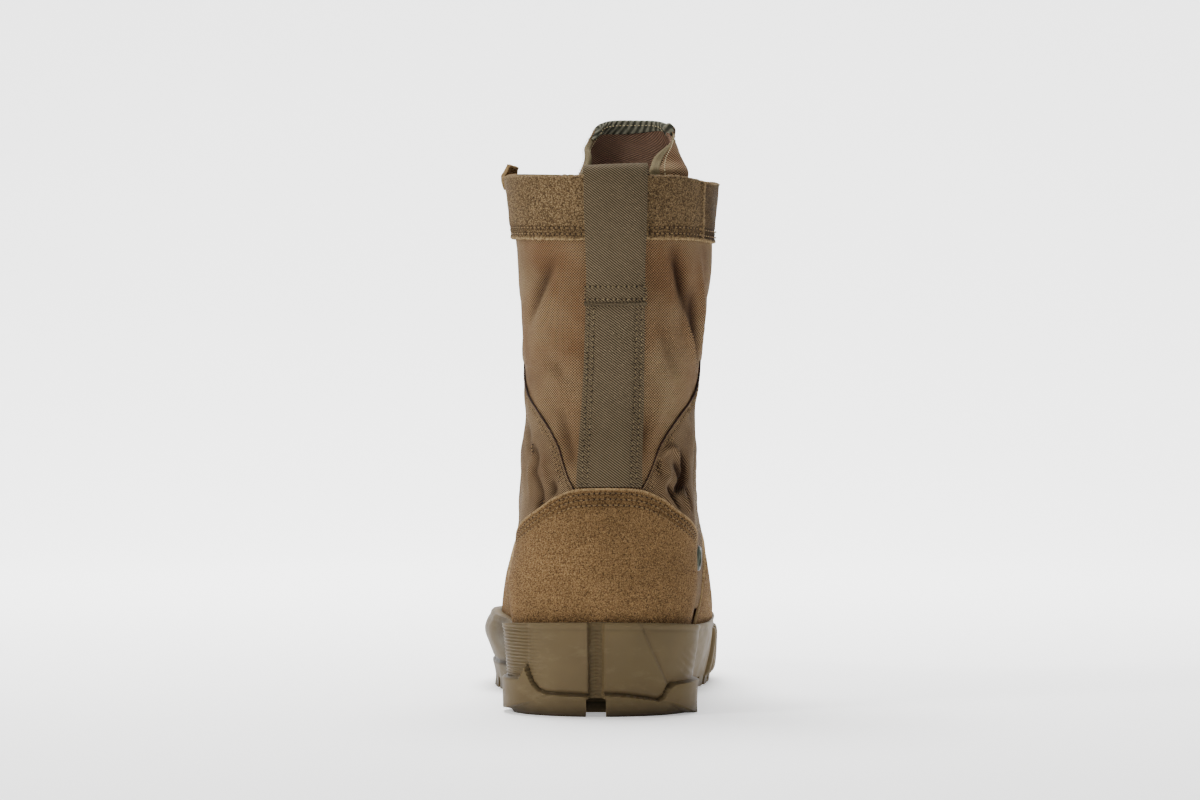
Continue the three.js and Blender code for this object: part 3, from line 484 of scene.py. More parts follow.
def twill_finish(name, tones, column, rib, bump):
    """Webbing of slanting ribs, whose slant turns round in each column. One column as wide
    as the webbing gives a plain diagonal, and narrow ones give a herringbone."""
    f = Finish(name, roughness=CLOTH_ROUGH, specular=CLOTH_GLOSS)
    across, up = f.flat_axes()
    folded = f.maths("PINGPONG", f.maths("ADD", across, 0.03), column * MM)
    slant = f.maths("ADD", up, f.maths("MULTIPLY", folded, 0.8))
    wobble = f.maths("MULTIPLY", f.noise(260, 2, 0.5, uv=True), 1.1)
    ribs = f.maths("SINE", f.maths("ADD", f.maths("MULTIPLY", slant, 2 * math.pi / (rib * MM)), wobble))
    height = f.maths("ADD", f.maths("MULTIPLY", ribs, 0.5), 0.5)
    columns = f.ramp(f.maths("DIVIDE", folded, column * MM), (0.0, 0.75), (0.2, 1.0), (0.8, 1.0), (1.0, 0.75))
    height = f.maths("MULTIPLY", height, columns)
    thread = f.shades(height, (0.15, 0.5, 0.85), tones)
    patch = f.ramp(f.noise(34, 4, 0.6), (0.3, 0.78), (0.7, 1.0))
    fibre = f.noise(2000, 2, 0.6, uv=True)
    f.color(f.tint(0.5, f.tint(0.6, thread, patch), f.ramp(fibre, (0.3, 0.55), (0.7, 1.0))))
    f.bump((height, bump, 0.35), (fibre, 0.15, 0.1))
    return f.material


webbing = twill_finish("webbing_olive", ((42, 35, 25), (77, 66, 49), (110, 97, 76)), 60, 1.15, 0.6)
tape = twill_finish("tape_dark_olive", ((50, 50, 42), (72, 71, 60), (104, 102, 88)), 60, 3.0, 0.8)
binding = twill_finish("binding_olive", ((62, 54, 37), (100, 89, 64), (128, 116, 88)), 1.2, 0.8, 0.4)


# %% Suede
def suede_finish(name, grain, naps, spark, edge_light):
    """Rough leather: a dark nap with golden specks, worn light at each cut edge."""
    f = Finish(name, roughness=0.95, specular=0.05)
    nap = f.noise(grain, 3, 0.75)
    clump = f.noise(grain * 0.5, 3, 0.6)
    broad = f.noise(30, 3, 0.55)
    base = f.shades(f.blend(0.3, nap, clump), (0.38, 0.5, 0.62), naps)
    sparks = f.ramp(f.cells(grain * 0.72), (0.0, 1.0), (0.25, 0.6), (0.46, 0.0))
    gold = f.blend(f.maths("MULTIPLY", sparks, 0.7), base, linear(*spark))
    tone = f.tint(0.8, gold, f.ramp(broad, (0.32, 0.68), (0.66, 1.0)))
    # Darker where seams are marked: painted shade in the stitch dents, and beyond the collar's upright seam.
    tone = f.tint(f.mark("seam"), tone, SEAM_SHADE)
    rim = f.ramp(f.maths("MULTIPLY", f.mark("edge"), 0.1), (0.0, 1.0), (0.13, 0.0))
    rim = f.maths("MULTIPLY", rim, f.ramp(f.noise(900, 3), (0.35, 0.25), (0.6, 1.0)))
    f.color(f.blend(f.maths("MULTIPLY", rim, 0.8), tone, linear(*edge_light)))
    f.rough(f.ramp(nap, (0.3, 0.85), (0.7, 1.0)))
    f.bump((nap, 0.8, 0.35), (clump, 0.5, 0.5), (sparks, 0.3, 0.25), (broad, 0.2, 0.6))
    return f.material


suede_heel = suede_finish(
    "suede_heel", 2100, ((46, 32, 19), (92, 70, 45), (126, 99, 66)), (164, 134, 94), (150, 128, 94))
suede_top = suede_finish(
    "suede_collar", 1800, ((37, 27, 18), (77, 61, 41), (110, 91, 65)), (152, 130, 96), (150, 127, 91))
suede_raw = suede_finish(
    "suede_raw_edge", 1500, ((62, 45, 29), (100, 77, 50), (130, 104, 71)), (158, 132, 96), (152, 128, 92))


# %% Thread, piping, cord and metal
def thread_finish(name, light, dark):
    f = Finish(name, roughness=0.8, specular=0.15)
    f.color(f.blend(f.ramp(f.noise(700, 2), (0.35, 0.0), (0.65, 1.0)), linear(*dark), linear(*light)))
    f.bump((f.noise(2600, 2, 0.6, (1, 1, 3)), 0.4, 0.1))
    return f.material


thread_tan = thread_finish("thread_tan", (122, 100, 68), (88, 70, 46))
thread_olive = thread_finish("thread_olive", (106, 93, 68), (74, 62, 44))
thread_pale = thread_finish("thread_pale", (170, 160, 128), (130, 118, 88))
piping_brown = thread_finish("piping_brown", (46, 26, 18), (28, 17, 12))
# Painted shadow: a near-black finish for the beads sunk into the needle holes.
painted_hole_shadow = thread_finish("painted_hole_shadow", (34, 22, 14), (20, 13, 9))


def cord_finish():
    """Braid: two spirals of strands that cross along the cord's own UV map."""
    f = Finish("cord_braid", roughness=0.85, specular=0.15)
    spirals, turns = 4, 60
    around, along = f.flat_axes()
    around = f.maths("MULTIPLY", around, 2 * math.pi * spirals)
    along = f.maths("MULTIPLY", along, 2 * math.pi * turns)
    one = f.maths("SINE", f.maths("ADD", around, along))
    two = f.maths("SINE", f.maths("SUBTRACT", around, along))
    height = f.maths("MAXIMUM", one, two)
    f.color(f.shades(height, (0.0, 0.6, 1.0), ((52, 43, 31), (90, 76, 57), (116, 100, 78))))
    f.bump((height, 0.5, 0.4))
    return f.material


def metal_finish(name, light, dark, metallic=1.0, roughness=0.36):
    f = Finish(name, roughness=roughness, metallic=metallic, specular=0.5)
    f.color(f.blend(f.ramp(f.noise(160, 4), (0.35, 0.0), (0.65, 1.0)), linear(*dark), linear(*light)))
    f.rough(f.ramp(f.noise(420, 4), (0.3, roughness - 0.08), (0.7, roughness + 0.16)))
    f.bump((f.noise(900, 3, 0.6, (1, 1, 4)), 0.12, 0.05))
    return f.material


cord_braid = cord_finish()
metal_grey = metal_finish("metal_grey", (190, 188, 180), (146, 143, 134))
metal_green = metal_finish("metal_green", (66, 72, 62), (44, 49, 42), 0.8, 0.5)


def floor_finish():
    f = Finish("floor_pale", roughness=0.9)
    f.color(f.ramp(f.noise(3, 2), (0.3, (0.92, 0.92, 0.92, 1)), (0.7, (0.94, 0.94, 0.94, 1))))
    f.shader.inputs["Emission Color"].default_value = (1, 1, 1, 1)
    f.shader.inputs["Emission Strength"].default_value = 0.4
    return f.material


print("finishes:", len(bpy.data.materials))

# %% [markdown]
# ## How a skin is made
# A maker lays flat stock on the last. Here a flat grid is laid on it: each corner goes to
# its turn, row and height above the last. Solidify then gives the stock its thickness and
# a bevel rounds the cut edge.


# %% Laying a grid on the last
def laid_grid(name, columns, rows, lay):
    """lay(u, v) gives points in millimetres, UV in millimetres and marks by name."""
    bpy.ops.object.select_all(action="DESELECT")
    bpy.ops.mesh.primitive_grid_add(x_subdivisions=columns, y_subdivisions=rows, size=1)
    piece = bpy.context.object
    piece.name = piece.data.name = name
    mesh = piece.data
    co = np.zeros(len(mesh.vertices) * 3)
    mesh.vertices.foreach_get("co", co)
    co = co.reshape(-1, 3) + 0.5
    across = len(np.unique(np.round(co[:, 0], 6)))
    u, v = (co[:, k].reshape(-1, across) for k in (0, 1))
    points, flat, marks = lay(u, v)
    mesh.vertices.foreach_set("co", (points * MM).ravel())
    corner = np.zeros(len(mesh.loops), int)
    mesh.loops.foreach_get("vertex_index", corner)
    mesh.uv_layers.active.data.foreach_set("uv", (flat.reshape(-1, 2) * MM)[corner].ravel())
    for key, values in marks.items():
        mark = mesh.attributes.new(key, "FLOAT", "POINT")
        mark.data.foreach_set("value", np.broadcast_to(values, u.shape).ravel())
    mesh.update()
    return piece


def close_up(piece, reach):
    """Sews grid edges that meet, turns every face outwards and counts what is still open."""
    pick(piece)
    bpy.ops.object.mode_set(mode="EDIT")
    bpy.ops.mesh.select_all(action="SELECT")
    bpy.ops.mesh.remove_doubles(threshold=reach * MM)
    bpy.ops.mesh.normals_make_consistent(inside=False)
    bpy.ops.mesh.select_all(action="DESELECT")
    bpy.ops.mesh.select_mode(type="EDGE")
    bpy.ops.mesh.select_non_manifold()
    bpy.ops.object.mode_set(mode="OBJECT")
    print(piece.name, "open edges:", sum(edge.select for edge in piece.data.edges))


def dress(piece, material, replaced=(), smooth_angle=50):
    """Gives a piece its finish, its body and the solids it stands for."""
    piece.data.materials.clear()
    piece.data.materials.append(material)
    pick(piece)
    bpy.ops.object.shade_smooth_by_angle(angle=math.radians(smooth_angle))
    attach(piece, "root")
    if replaced:
        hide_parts(*replaced)
    print(piece.name, "faces:", len(piece.data.polygons))
    return piece


def round_edges(piece, width, angle=55):
    apply_modifier(piece, "BEVEL", width=width * MM, segments=2, limit_method="ANGLE",
                   angle_limit=math.radians(angle))


def thicken(piece, thickness, edge=0.0):
    """Gives a skin its thickness, inwards, and rounds its cut edge."""
    apply_modifier(piece, "SOLIDIFY", thickness=thickness * MM, offset=-1.0)
    if edge:
        round_edges(piece, edge)


def joined(name, pieces):
    """Several objects as one, under one name."""
    pick(*pieces)
    bpy.ops.object.join()
    pieces[0].name = pieces[0].data.name = name
    return pieces[0]


# %% Floor: a flat disc whose rim curves up far behind the boot
def lay_floor(u, v):
    flat, bend = 1500, 2500
    arc = np.clip((v - 0.3) / 0.7, 0, 1) * math.radians(80)
    reach = flat * np.clip(v / 0.3, 0, 1) + bend * np.sin(arc)
    angle = u * 2 * math.pi
    height = bend * (1 - np.cos(arc))
    points = np.stack([reach * np.cos(angle), reach * np.sin(angle), height], -1)
    return points, points[..., :2], {}


floor = laid_grid("studio_floor", 96, 60, lay_floor)
close_up(floor, 0.5)
floor.data.materials.append(floor_finish())
pick(floor)
bpy.ops.object.shade_smooth()
floor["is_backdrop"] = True


# %% Soft creases, in the boot's own sizes
def crease_relief(points, creases):
    """Soft troughs and ridges: each crease is its points, a depth and a width."""
    relief = np.zeros(points.shape[:-1])
    for places, depth, width in creases:
        line = last_point(*np.array(places, float).T)
        steps = np.linspace(0, len(line) - 1, 24)
        line = spline(line, steps)
        fade = np.sin(math.pi * np.clip(steps / (len(places) - 1) * 0.92 + 0.04, 0, 1)) ** 0.6
        near = np.full(points.shape[:-1], 1e9)
        weight = np.zeros(points.shape[:-1])
        for spot, share in zip(line, fade):
            distance = np.linalg.norm(points - spot, axis=-1)
            closer = distance < near
            near = np.where(closer, distance, near)
            weight = np.where(closer, share, weight)
        relief += depth * weight * hill(near, width)
    return relief


# %% Lines on the last, for seams, piping and stitches
def seam_line(places, count):
    """Evenly spaced turns and rows along a smooth line through a few places."""
    places = np.array(places, float)
    fine = spline(places, np.linspace(0, len(places) - 1, 400))
    points = last_point(fine[:, 0], fine[:, 1])
    run = run_along(points)
    at = np.linspace(0, run[-1], count)
    return np.stack([np.interp(at, run, fine[:, k]) for k in (0, 1)], -1)


def make_stitch():
    """One stitch: a round bead drawn out along the seam."""
    bpy.ops.object.select_all(action="DESELECT")
    bpy.ops.mesh.primitive_uv_sphere_add(segments=6, ring_count=3, radius=0.5)
    bead = bpy.context.object
    bpy.ops.object.mode_set(mode="EDIT")
    bpy.ops.mesh.select_all(action="SELECT")
    bpy.ops.transform.rotate(value=math.pi / 2, orient_axis="Y", center_override=(0, 0, 0))
    bpy.ops.object.mode_set(mode="OBJECT")
    points = np.array([v.co[:] for v in bead.data.vertices])
    faces = [tuple(f.vertices) for f in bead.data.polygons]
    bpy.data.objects.remove(bead)
    return points, faces


BEAD_POINTS, BEAD_FACES = make_stitch()


def stitches_along(points, out, pitch, length, width, zigzag=0.0):
    """Frames for a row of stitches on a line: middle, along, side, out and sizes."""
    run = run_along(points)
    count = max(2, int(run[-1] / pitch))
    at = (np.arange(count) + 0.5) / count * run[-1]
    middle, ahead, out = (np.stack([np.interp(to, run, a[:, k]) for k in range(3)], -1)
                          for to, a in ((at, points), (at + 0.3, points), (at, out)))
    behind = np.stack([np.interp(at - 0.3, run, points[:, k]) for k in range(3)], -1)
    along, out = unit(ahead - behind), unit(out)
    side = np.cross(out, along)
    if zigzag:
        along = unit(along + side * np.where(np.arange(count) % 2, 1, -1)[:, None] * zigzag)
        side = np.cross(out, along)
    return [(m, a, s, o, length, width) for m, a, s, o in zip(middle, along, side, out)]


def stitch_places(line, offset, pitch=2.5, length=1.8, width=0.6, zigzag=0.0):
    """Stitches along (turn, row) places of the last, an offset above it."""
    spots = seam_line(line, 400)
    points = on_last(spots[:, 0], spots[:, 1], offset + 0.1)
    return stitches_along(points, outward(spots[:, 0], spots[:, 1]), pitch, length, width, zigzag)


def hole_shadows(places):
    """Dark beads of painted shadow in the pits where the thread goes down, at one end of each stitch."""
    return [(m - a * length * 0.62 - o * 0.12, a, s, o, width * 1.5, width * 1.1)
            for m, a, s, o, length, width in places]


def joined_stitches(name, places, material):
    """All the stitches of one thread as a joined mesh."""
    points, faces = [], []
    for middle, along, side, out, length, width in places:
        start = len(points) * len(BEAD_POINTS)
        points.append(middle + BEAD_POINTS[:, :1] * along * length
                      + BEAD_POINTS[:, 1:2] * side * width + BEAD_POINTS[:, 2:] * out * width * 0.8)
        faces += [tuple(start + i for i in face) for face in BEAD_FACES]
    mesh = bpy.data.meshes.new(name)
    mesh.from_pydata((np.concatenate(points) * MM).tolist(), [], faces)
    piece = bpy.data.objects.new(name, mesh)
    bpy.context.scene.collection.objects.link(piece)
    return dress(piece, material, smooth_angle=80)


def tube(name, points, radius, sides=8):
    """A round strand along points in millimetres, with a UV map that runs along it."""
    curve = bpy.data.curves.new(name, "CURVE")
    curve.dimensions = "3D"
    curve.bevel_depth = radius * MM
    curve.bevel_resolution = max(0, sides // 2 - 2)
    curve.use_fill_caps = True
    line = curve.splines.new("POLY")
    line.points.add(len(points) - 1)
    for spot, place in zip(line.points, points):
        spot.co = (*(np.asarray(place) * MM), 1)
    piece = bpy.data.objects.new(name, curve)
    bpy.context.scene.collection.objects.link(piece)
    pick(piece)
    bpy.ops.object.convert(target="MESH")
    piece = bpy.context.object
    piece.name = piece.data.name = name
    return piece


print("a stitch has faces:", len(BEAD_FACES))
SIDES = ((-1, "lateral"), (1, "medial"))

# %% [markdown]
# ## The nylon shell and its lining
# The leg of the boot is one wrap of nylon, sewn to a mesh lining and open up the front.
# Each row of the grid runs from one side of the throat round the heel to the other, so
# the throat's edge is the grid's own edge. Below the throat the row closes on itself.

# %% The throat
THROAT_ROW, THROAT_LOW, THROAT_HIGH = 5.62, 9, 25
WALL = 2.2


def throat_half(row):
    share = np.clip((row - THROAT_ROW) / (TOP_ROW - THROAT_ROW), 0, 1)
    return mix(THROAT_LOW, THROAT_HIGH, share**0.8)


def throat_edge(row, side, beyond):
    return turn_from_front(row, side, throat_half(row) + beyond)


# %% Creases of the nylon and of the ankle, as (turn, row) places, depth and width
NYLON_CREASES = [
    ([(-0.58, 9.95), (-0.7, 9.72), (-0.84, 9.45), (-0.98, 9.2)], -0.9, 3.0),
    ([(-0.5, 9.9), (-0.62, 9.6), (-0.74, 9.35), (-0.86, 9.1)], 0.5, 3.4),
    ([(0.62, 10.1), (0.68, 9.85), (0.73, 9.6), (0.82, 9.2)], -1.7, 3.2),
    ([(0.72, 9.5), (0.8, 9.2), (0.91, 8.9), (1.06, 8.6)], 1.0, 1.9),
    ([(0.86, 9.6), (0.94, 9.25), (1.04, 8.9), (1.14, 8.65)], -1.6, 3.4),
    ([(1.02, 10.0), (1.06, 9.6), (1.12, 9.2), (1.2, 8.8)], 0.9, 2.2),
    ([(-0.53, 7.95), (-0.43, 7.5), (-0.34, 7.0), (-0.28, 6.6)], -0.9, 2.6),
    ([(-0.66, 8.72), (-0.52, 8.55), (-0.4, 8.4)], -0.7, 3.6),
    ([(-0.4, 8.9), (-0.46, 8.6), (-0.56, 8.3)], 0.5, 4.0),
    ([(0.36, 7.8), (0.31, 7.4), (0.26, 6.8)], -0.8, 2.4),
    ([(0.52, 8.1), (0.44, 7.7), (0.36, 7.2)], 0.7, 2.6),
    ([(0.42, 9.3), (0.55, 8.9), (0.7, 8.5)], -0.6, 4.0),
    ([(-1.3, 9.4), (-1.6, 9.0), (-1.9, 8.8), (-2.2, 8.7)], -1.1, 3.4),
    ([(-1.2, 8.9), (-1.6, 8.6), (-2.0, 8.3)], 0.8, 3.6),
    ([(1.3, 9.6), (1.6, 9.1), (1.9, 8.8), (2.2, 8.6)], -1.2, 3.6),
    ([(1.35, 8.9), (1.7, 8.5), (2.1, 8.2)], 0.9, 3.6),
    ([(1.5, 7.6), (1.8, 7.2), (2.1, 7.0)], -1.2, 3.2),
    ([(-1.5, 7.5), (-1.8, 7.1), (-2.1, 6.9)], -1.2, 3.2),
]
ANKLE_CREASES = [
    ([(-1.17, 7.83), (-0.93, 7.48), (-0.84, 7.15)], -0.5, 2.6),
    ([(-0.84, 7.15), (-0.73, 7.05), (-0.68, 6.8), (-0.7, 6.53)], -0.75, 2.0),
    ([(-0.72, 6.6), (-0.62, 6.25), (-0.55, 5.93), (-0.53, 5.5)], -0.8, 1.5),
    ([(-0.62, 6.75), (-0.55, 6.5), (-0.5, 6.2)], 0.6, 1.9),
    ([(-0.47, 6.3), (-0.43, 6.03), (-0.45, 5.88)], -0.9, 1.7),
    ([(-0.56, 5.78), (-0.54, 5.6), (-0.52, 5.4)], -0.9, 1.9),
    ([(-0.8, 6.7), (-0.74, 6.3), (-0.68, 5.8)], 0.5, 1.7),
    ([(-1.0, 7.5), (-1.1, 7.0), (-1.1, 6.4), (-1.0, 5.8)], 0.1, 2.6),
    ([(0.4, 6.8), (0.49, 7.05), (0.59, 7.12), (0.66, 6.95), (0.7, 6.75)], 0.8, 1.6),
    ([(0.7, 6.95), (0.76, 6.6), (0.72, 6.25), (0.63, 6.05)], -1.5, 2.2),
    ([(0.6, 6.75), (0.66, 6.5), (0.66, 6.2), (0.58, 5.95)], -0.9, 2.0),
    ([(0.44, 6.95), (0.43, 6.65), (0.45, 6.4)], -0.6, 1.5),
    ([(0.5, 6.7), (0.52, 6.45), (0.48, 6.2)], 0.7, 1.5),
    ([(0.47, 6.35), (0.44, 5.93), (0.52, 5.6)], 0.6, 1.4),
    ([(0.51, 6.12), (0.56, 5.8), (0.61, 5.5)], -1.0, 1.4),
    ([(0.76, 6.1), (0.79, 5.85), (0.81, 5.5)], -1.4, 1.7),
    ([(0.66, 5.9), (0.68, 5.65), (0.7, 5.4)], 0.7, 1.3),
    ([(0.98, 7.2), (1.06, 6.6), (1.04, 6.0), (0.98, 5.5)], -0.6, 2.4),
    ([(-1.3, 6.9), (-1.5, 6.4), (-1.8, 6.1)], -0.6, 2.6),
    ([(1.3, 6.9), (1.5, 6.4), (1.8, 6.1)], -0.6, 2.6),
]


def slow_waves(points, size, height, phase=0.0):
    """Broad unevenness of hand-lasted stock, as a sum of slow waves."""
    x, y, z = (points[..., k] / size for k in range(3))
    waves = np.sin(2.1 * x + 1.3 * y + phase) * np.sin(1.7 * z - 0.8 * y + 2 * phase)
    return height * (waves + 0.5 * np.sin(3.3 * y + 2.9 * z + 3 * phase) * np.sin(2.6 * x - phase))


# %% Where the ankle panels lie, and how deep they are pressed in
PANEL_EDGE = [(0.24, 5.9), (0.33, 6.36), (0.4, 6.8), (0.46, 7.15), (0.57, 7.5), (0.71, 7.79),
              (0.88, 8.03), (1.09, 8.24), (1.27, 8.45), (1.6, 8.75), (1.95, 9.0), (2.3, 9.15)]
FOLD_DEPTH, OUTER_FOLDS = 2.7, 0.76


def curve_row(table, turn):
    turns, rows = np.array(table).T
    return spline(rows, np.interp(turn, turns, np.arange(len(turns))))


def ankle_folds(points):
    side = np.where(points[..., 0] < 0, OUTER_FOLDS, 1.0)
    return FOLD_DEPTH * side * crease_relief(points, ANKLE_CREASES)


# %% Shell
def lay_shell(offset, first):
    def lay(u, v):
        rows = mix(first, TOP_ROW, v[:, 0])
        open_share = np.sqrt(np.clip(1 - (1 - np.clip((rows - 5.48) / 0.3, 0, 1)) ** 2, 0, 1))
        half = np.maximum(throat_half(rows) * open_share, 0.001)
        table = ring_lengths(rows)
        left, right = table[:, 0] + half, table[:, -1] - half
        lengths = mix(left[:, None], right[:, None], u)
        turns = turns_at(rows, lengths)
        row = np.broadcast_to(rows[:, None], turns.shape)
        bare = last_point(turns, row)
        relief = 1.7 * crease_relief(bare, NYLON_CREASES) + slow_waves(bare, 14, 0.3)
        covered = smooth((curve_row(PANEL_EDGE, np.abs(turns)) - row) / 0.3)
        relief = relief * (1 - 0.8 * covered) + np.minimum(ankle_folds(bare) - 0.5, 0) * covered
        points = on_last(turns, row, offset + relief)
        # The mark is painted shade in the crease troughs.
        return points, np.stack([lengths, bare[..., 2]], -1), {"painted_cloth_shade": np.clip(-relief / 2.4, 0, 1)}
    return lay


shell = laid_grid("nylon_shell", 190, 150, lay_shell(0.0, 0.1))
apply_modifier(shell, "WELD", merge_threshold=0.02 * MM)
thicken(shell, 1.1)
dress(shell, nylon, ["upper"], 70)

inside = laid_grid("lining_shell", 84, 66, lay_shell(-1.3, 0.2))
apply_modifier(inside, "WELD", merge_threshold=0.02 * MM)
thicken(inside, 0.9)
dress(inside, lining, (), 70)

# %% [markdown]
# ## Ankle panels and their piping
# Over each ankle lies a second piece of nylon. Its upper edge is a slow curve from the
# heel's top to the lacing, turned under over a thin dark piping, and its face is puckered
# by the stitches. The grid runs along the curve, and the creases are troughs and ridges
# given in a table.

# %% Panels
PANEL_START, PANEL_END = 0.24, 2.32
PANEL_FOOT = [(0.0, 5.6), (0.41, 5.5), (0.55, 5.2), (0.7, 4.9), (0.85, 4.5), (1.05, 3.7), (1.25, 2.8),
              (1.5, 2.1), (1.66, 2.6), (1.88, 3.6), (2.3, 4.7), (2.4, 4.9)]


def lay_panel(side):
    def lay(u, v):
        share = u if side > 0 else 1 - u
        turn = mix(PANEL_START, PANEL_END, share)
        foot = np.minimum(curve_row(PANEL_FOOT, turn), curve_row(PANEL_EDGE, turn) - 0.2)
        row = mix(foot, curve_row(PANEL_EDGE, turn), v)
        bare = last_point(side * turn, row)
        top = last_point(side * turn, curve_row(PANEL_EDGE, turn))
        edge = np.linalg.norm(top - bare, axis=-1)
        relief = ankle_folds(bare) + slow_waves(bare, 9, 0.3, 1.0)
        relief = relief * smooth(edge / 5) - 0.3 * hill(edge - 2.1, 0.7)
        points = on_last(side * turn, row, 0.95 + relief)
        # Painted shade in the crease troughs, deeper on the inner side, and a painted shade patch over the inner
        # ankle.
        painted_cloth_shade = np.clip(-relief / (1.5 if side > 0 else 2.4), 0, 1)
        if side > 0:
            painted_cloth_shade = np.maximum(painted_cloth_shade, 0.55 * hill(turn - 0.74, 0.17) * hill(row - 6.3, 0.8))
        return points, cloth_map(side * turn[0], row), {"painted_cloth_shade": painted_cloth_shade}
    return lay


for side, word in SIDES:
    panel = laid_grid("ankle_panel_" + word, 120, 80, lay_panel(side))
    thicken(panel, 0.9, 0.25)
    dress(panel, nylon_panel, (), 70)
    line = seam_line([(side * t, r) for t, r in PANEL_EDGE], 150)
    piping = tube("piping_" + word, on_last(line[:, 0], line[:, 1], 0.5), 0.45, 8)
    dress(piping, piping_brown, (), 80)

# %% [markdown]
# ## Heel counter
# A stiff cap of rough suede holds the heel. Its top edge is an arch, cut raw and a little
# raised, with rows of stitches close below it.

# %% Counter
SUEDE = 1.4
ON_TOP = 0.3 + SUEDE
COUNTER_SEAMS, COUNTER_END = (2.4, 4.9, 7.4), 1.42
COUNTER_EDGE = [(0, 6.05), (0.25, 6.0), (0.41, 5.78), (0.55, 5.45), (0.7, 5.15), (0.85, 4.75), (1.05, 4.0),
                (1.25, 2.9), (1.42, 1.7)]


def stitch_dents(edge, *lines):
    return sum(-0.42 * hill(edge - at, 0.65) for at in lines)


def seam_darkening(edge, *lines):
    """Painted shade in the dents of the stitch lines, and a little darker on the doubled edge above them."""
    lines_darkening = sum(0.22 * hill(edge - at, 0.6) for at in lines)
    return np.clip(lines_darkening + 0.22 * (1 - smooth((edge - max(lines) - 0.4) / 1.2)) * (edge > 1.2), 0, 1)


def raw_edge(edge, height=0.35):
    return height * hill(edge, 1.0)


def lay_counter(u, v):
    turn = (u * 2 - 1) * COUNTER_END
    top = curve_row(COUNTER_EDGE, np.abs(turn))
    row = mix(0.9, top, 1 - (1 - v) ** 1.25)
    bare = last_point(turn, row)
    edge = np.linalg.norm(last_point(turn, top) - bare, axis=-1)
    edge = np.minimum(edge, (COUNTER_END - np.abs(turn)) * 45)
    relief = stitch_dents(edge, *COUNTER_SEAMS) + raw_edge(edge) + slow_waves(bare, 8, 0.12, 2.0)
    marks = {"edge": edge, "seam": seam_darkening(edge, *COUNTER_SEAMS)}
    return on_last(turn, row, ON_TOP + relief), bare[..., [0, 2]], marks


counter = laid_grid("heel_counter_suede", 170, 90, lay_counter)
thicken(counter, SUEDE, 0.3)
dress(counter, suede_heel, ["heel_counter"])

# %% [markdown]
# ## Vamp and eyestays
# The toe cap and the facings beside the throat are suede too. The facings keep the same
# distance from the throat's edge all the way up.

# %% Vamp
VAMP_SEAMS, VAMP_TOP = (2.4, 4.9), 5.5
VAMP_EDGE = [(0.7, 1.42), (2, 1.52), (3, 1.66), (4, 1.88), (5, 2.3), (5.5, 2.68)]
VAMP_CREASES = [
    ([(2.2, 4.3), (2.6, 4.75), (3.0, 4.95), (3.4, 4.9), (3.8, 4.6)], -1.0, 3.4),
    ([(2.1, 3.6), (2.5, 4.2), (2.9, 4.5), (3.3, 4.5), (3.8, 4.0)], -0.9, 3.2),
    ([(2.3, 4.0), (2.7, 4.5), (3.1, 4.75), (3.6, 4.4)], 0.6, 2.6),
]


def lay_vamp(u, v):
    row = mix(0.7, VAMP_TOP, v)
    rows_at, turns_of = np.array(VAMP_EDGE).T
    rear = spline(turns_of, np.interp(row, rows_at, np.arange(len(rows_at))))
    turn = mix(rear, 2 * math.pi - rear, u)
    bare = last_point(turn, row)
    rim = last_point(np.where(u < 0.5, rear, 2 * math.pi - rear), row)
    edge = np.linalg.norm(rim - bare, axis=-1)
    edge = np.minimum(edge, np.linalg.norm(last_point(turn, np.full_like(row, VAMP_TOP)) - bare, axis=-1))
    relief = stitch_dents(edge, *VAMP_SEAMS) + raw_edge(edge) + slow_waves(bare, 10, 0.12, 3.0)
    relief = relief + crease_relief(bare, VAMP_CREASES)
    marks = {"edge": edge, "seam": seam_darkening(edge, *VAMP_SEAMS)}
    return on_last(turn, row, ON_TOP + relief), bare[..., :2], marks


vamp = laid_grid("vamp_suede", 150, 90, lay_vamp)
thicken(vamp, SUEDE, 0.3)
dress(vamp, suede_heel, ["vamp"])

# %% Eyestays
EYESTAY_ROW, EYESTAY_WIDE, EYESTAY_GAP, EYESTAY_SEAM = 5.72, 25, 0.4, 2.4


def eyestay_spread(rows):
    return EYESTAY_WIDE * mix(0.75, 1, smooth((rows - EYESTAY_ROW) / 2))


def lay_eyestay(side):
    def lay(u, v):
        rows = mix(EYESTAY_ROW, TOP_ROW, v[:, 0])
        spread = eyestay_spread(rows)
        share = 1 - u if side > 0 else u
        beyond = EYESTAY_GAP + share * spread[:, None]
        turn = np.stack([throat_edge(rows, side, beyond[:, k]) for k in range(u.shape[1])], 1)
        row = np.broadcast_to(rows[:, None], turn.shape)
        bare = last_point(turn, row)
        edge = np.minimum(beyond - EYESTAY_GAP, spread[:, None] + EYESTAY_GAP - beyond)
        edge = np.minimum(edge, (TOP_ROW - row) * 33)
        edge = np.minimum(edge, (row - EYESTAY_ROW) * 22)
        relief = stitch_dents(edge, EYESTAY_SEAM) + raw_edge(edge, 0.2) + slow_waves(bare, 8, 0.12, 4.0)
        marks = {"edge": edge, "seam": seam_darkening(edge, EYESTAY_SEAM)}
        return on_last(turn, row, ON_TOP + relief), np.stack([beyond, bare[..., 2]], -1), marks
    return lay


for side, word in SIDES:
    eyestay = laid_grid("eyestay_suede_" + word, 26, 150, lay_eyestay(side))
    thicken(eyestay, SUEDE, 0.3)
    dress(eyestay, suede_top, ["eyestay_" + word])

# %% [markdown]
# ## Collar band
# A band of suede is folded over the top of the leg: up outside, over the edge and down
# inside. One grid follows that fold, row by row.

# %% Band
BAND_HIGH, BAND_SEAMS = 27.5, (2.4, 5.0)
BAND_OUTSIDE, BAND_OVER = 0.62, 0.74
BAND_ROW = row_at_back(COLLAR_Z - BAND_HIGH)


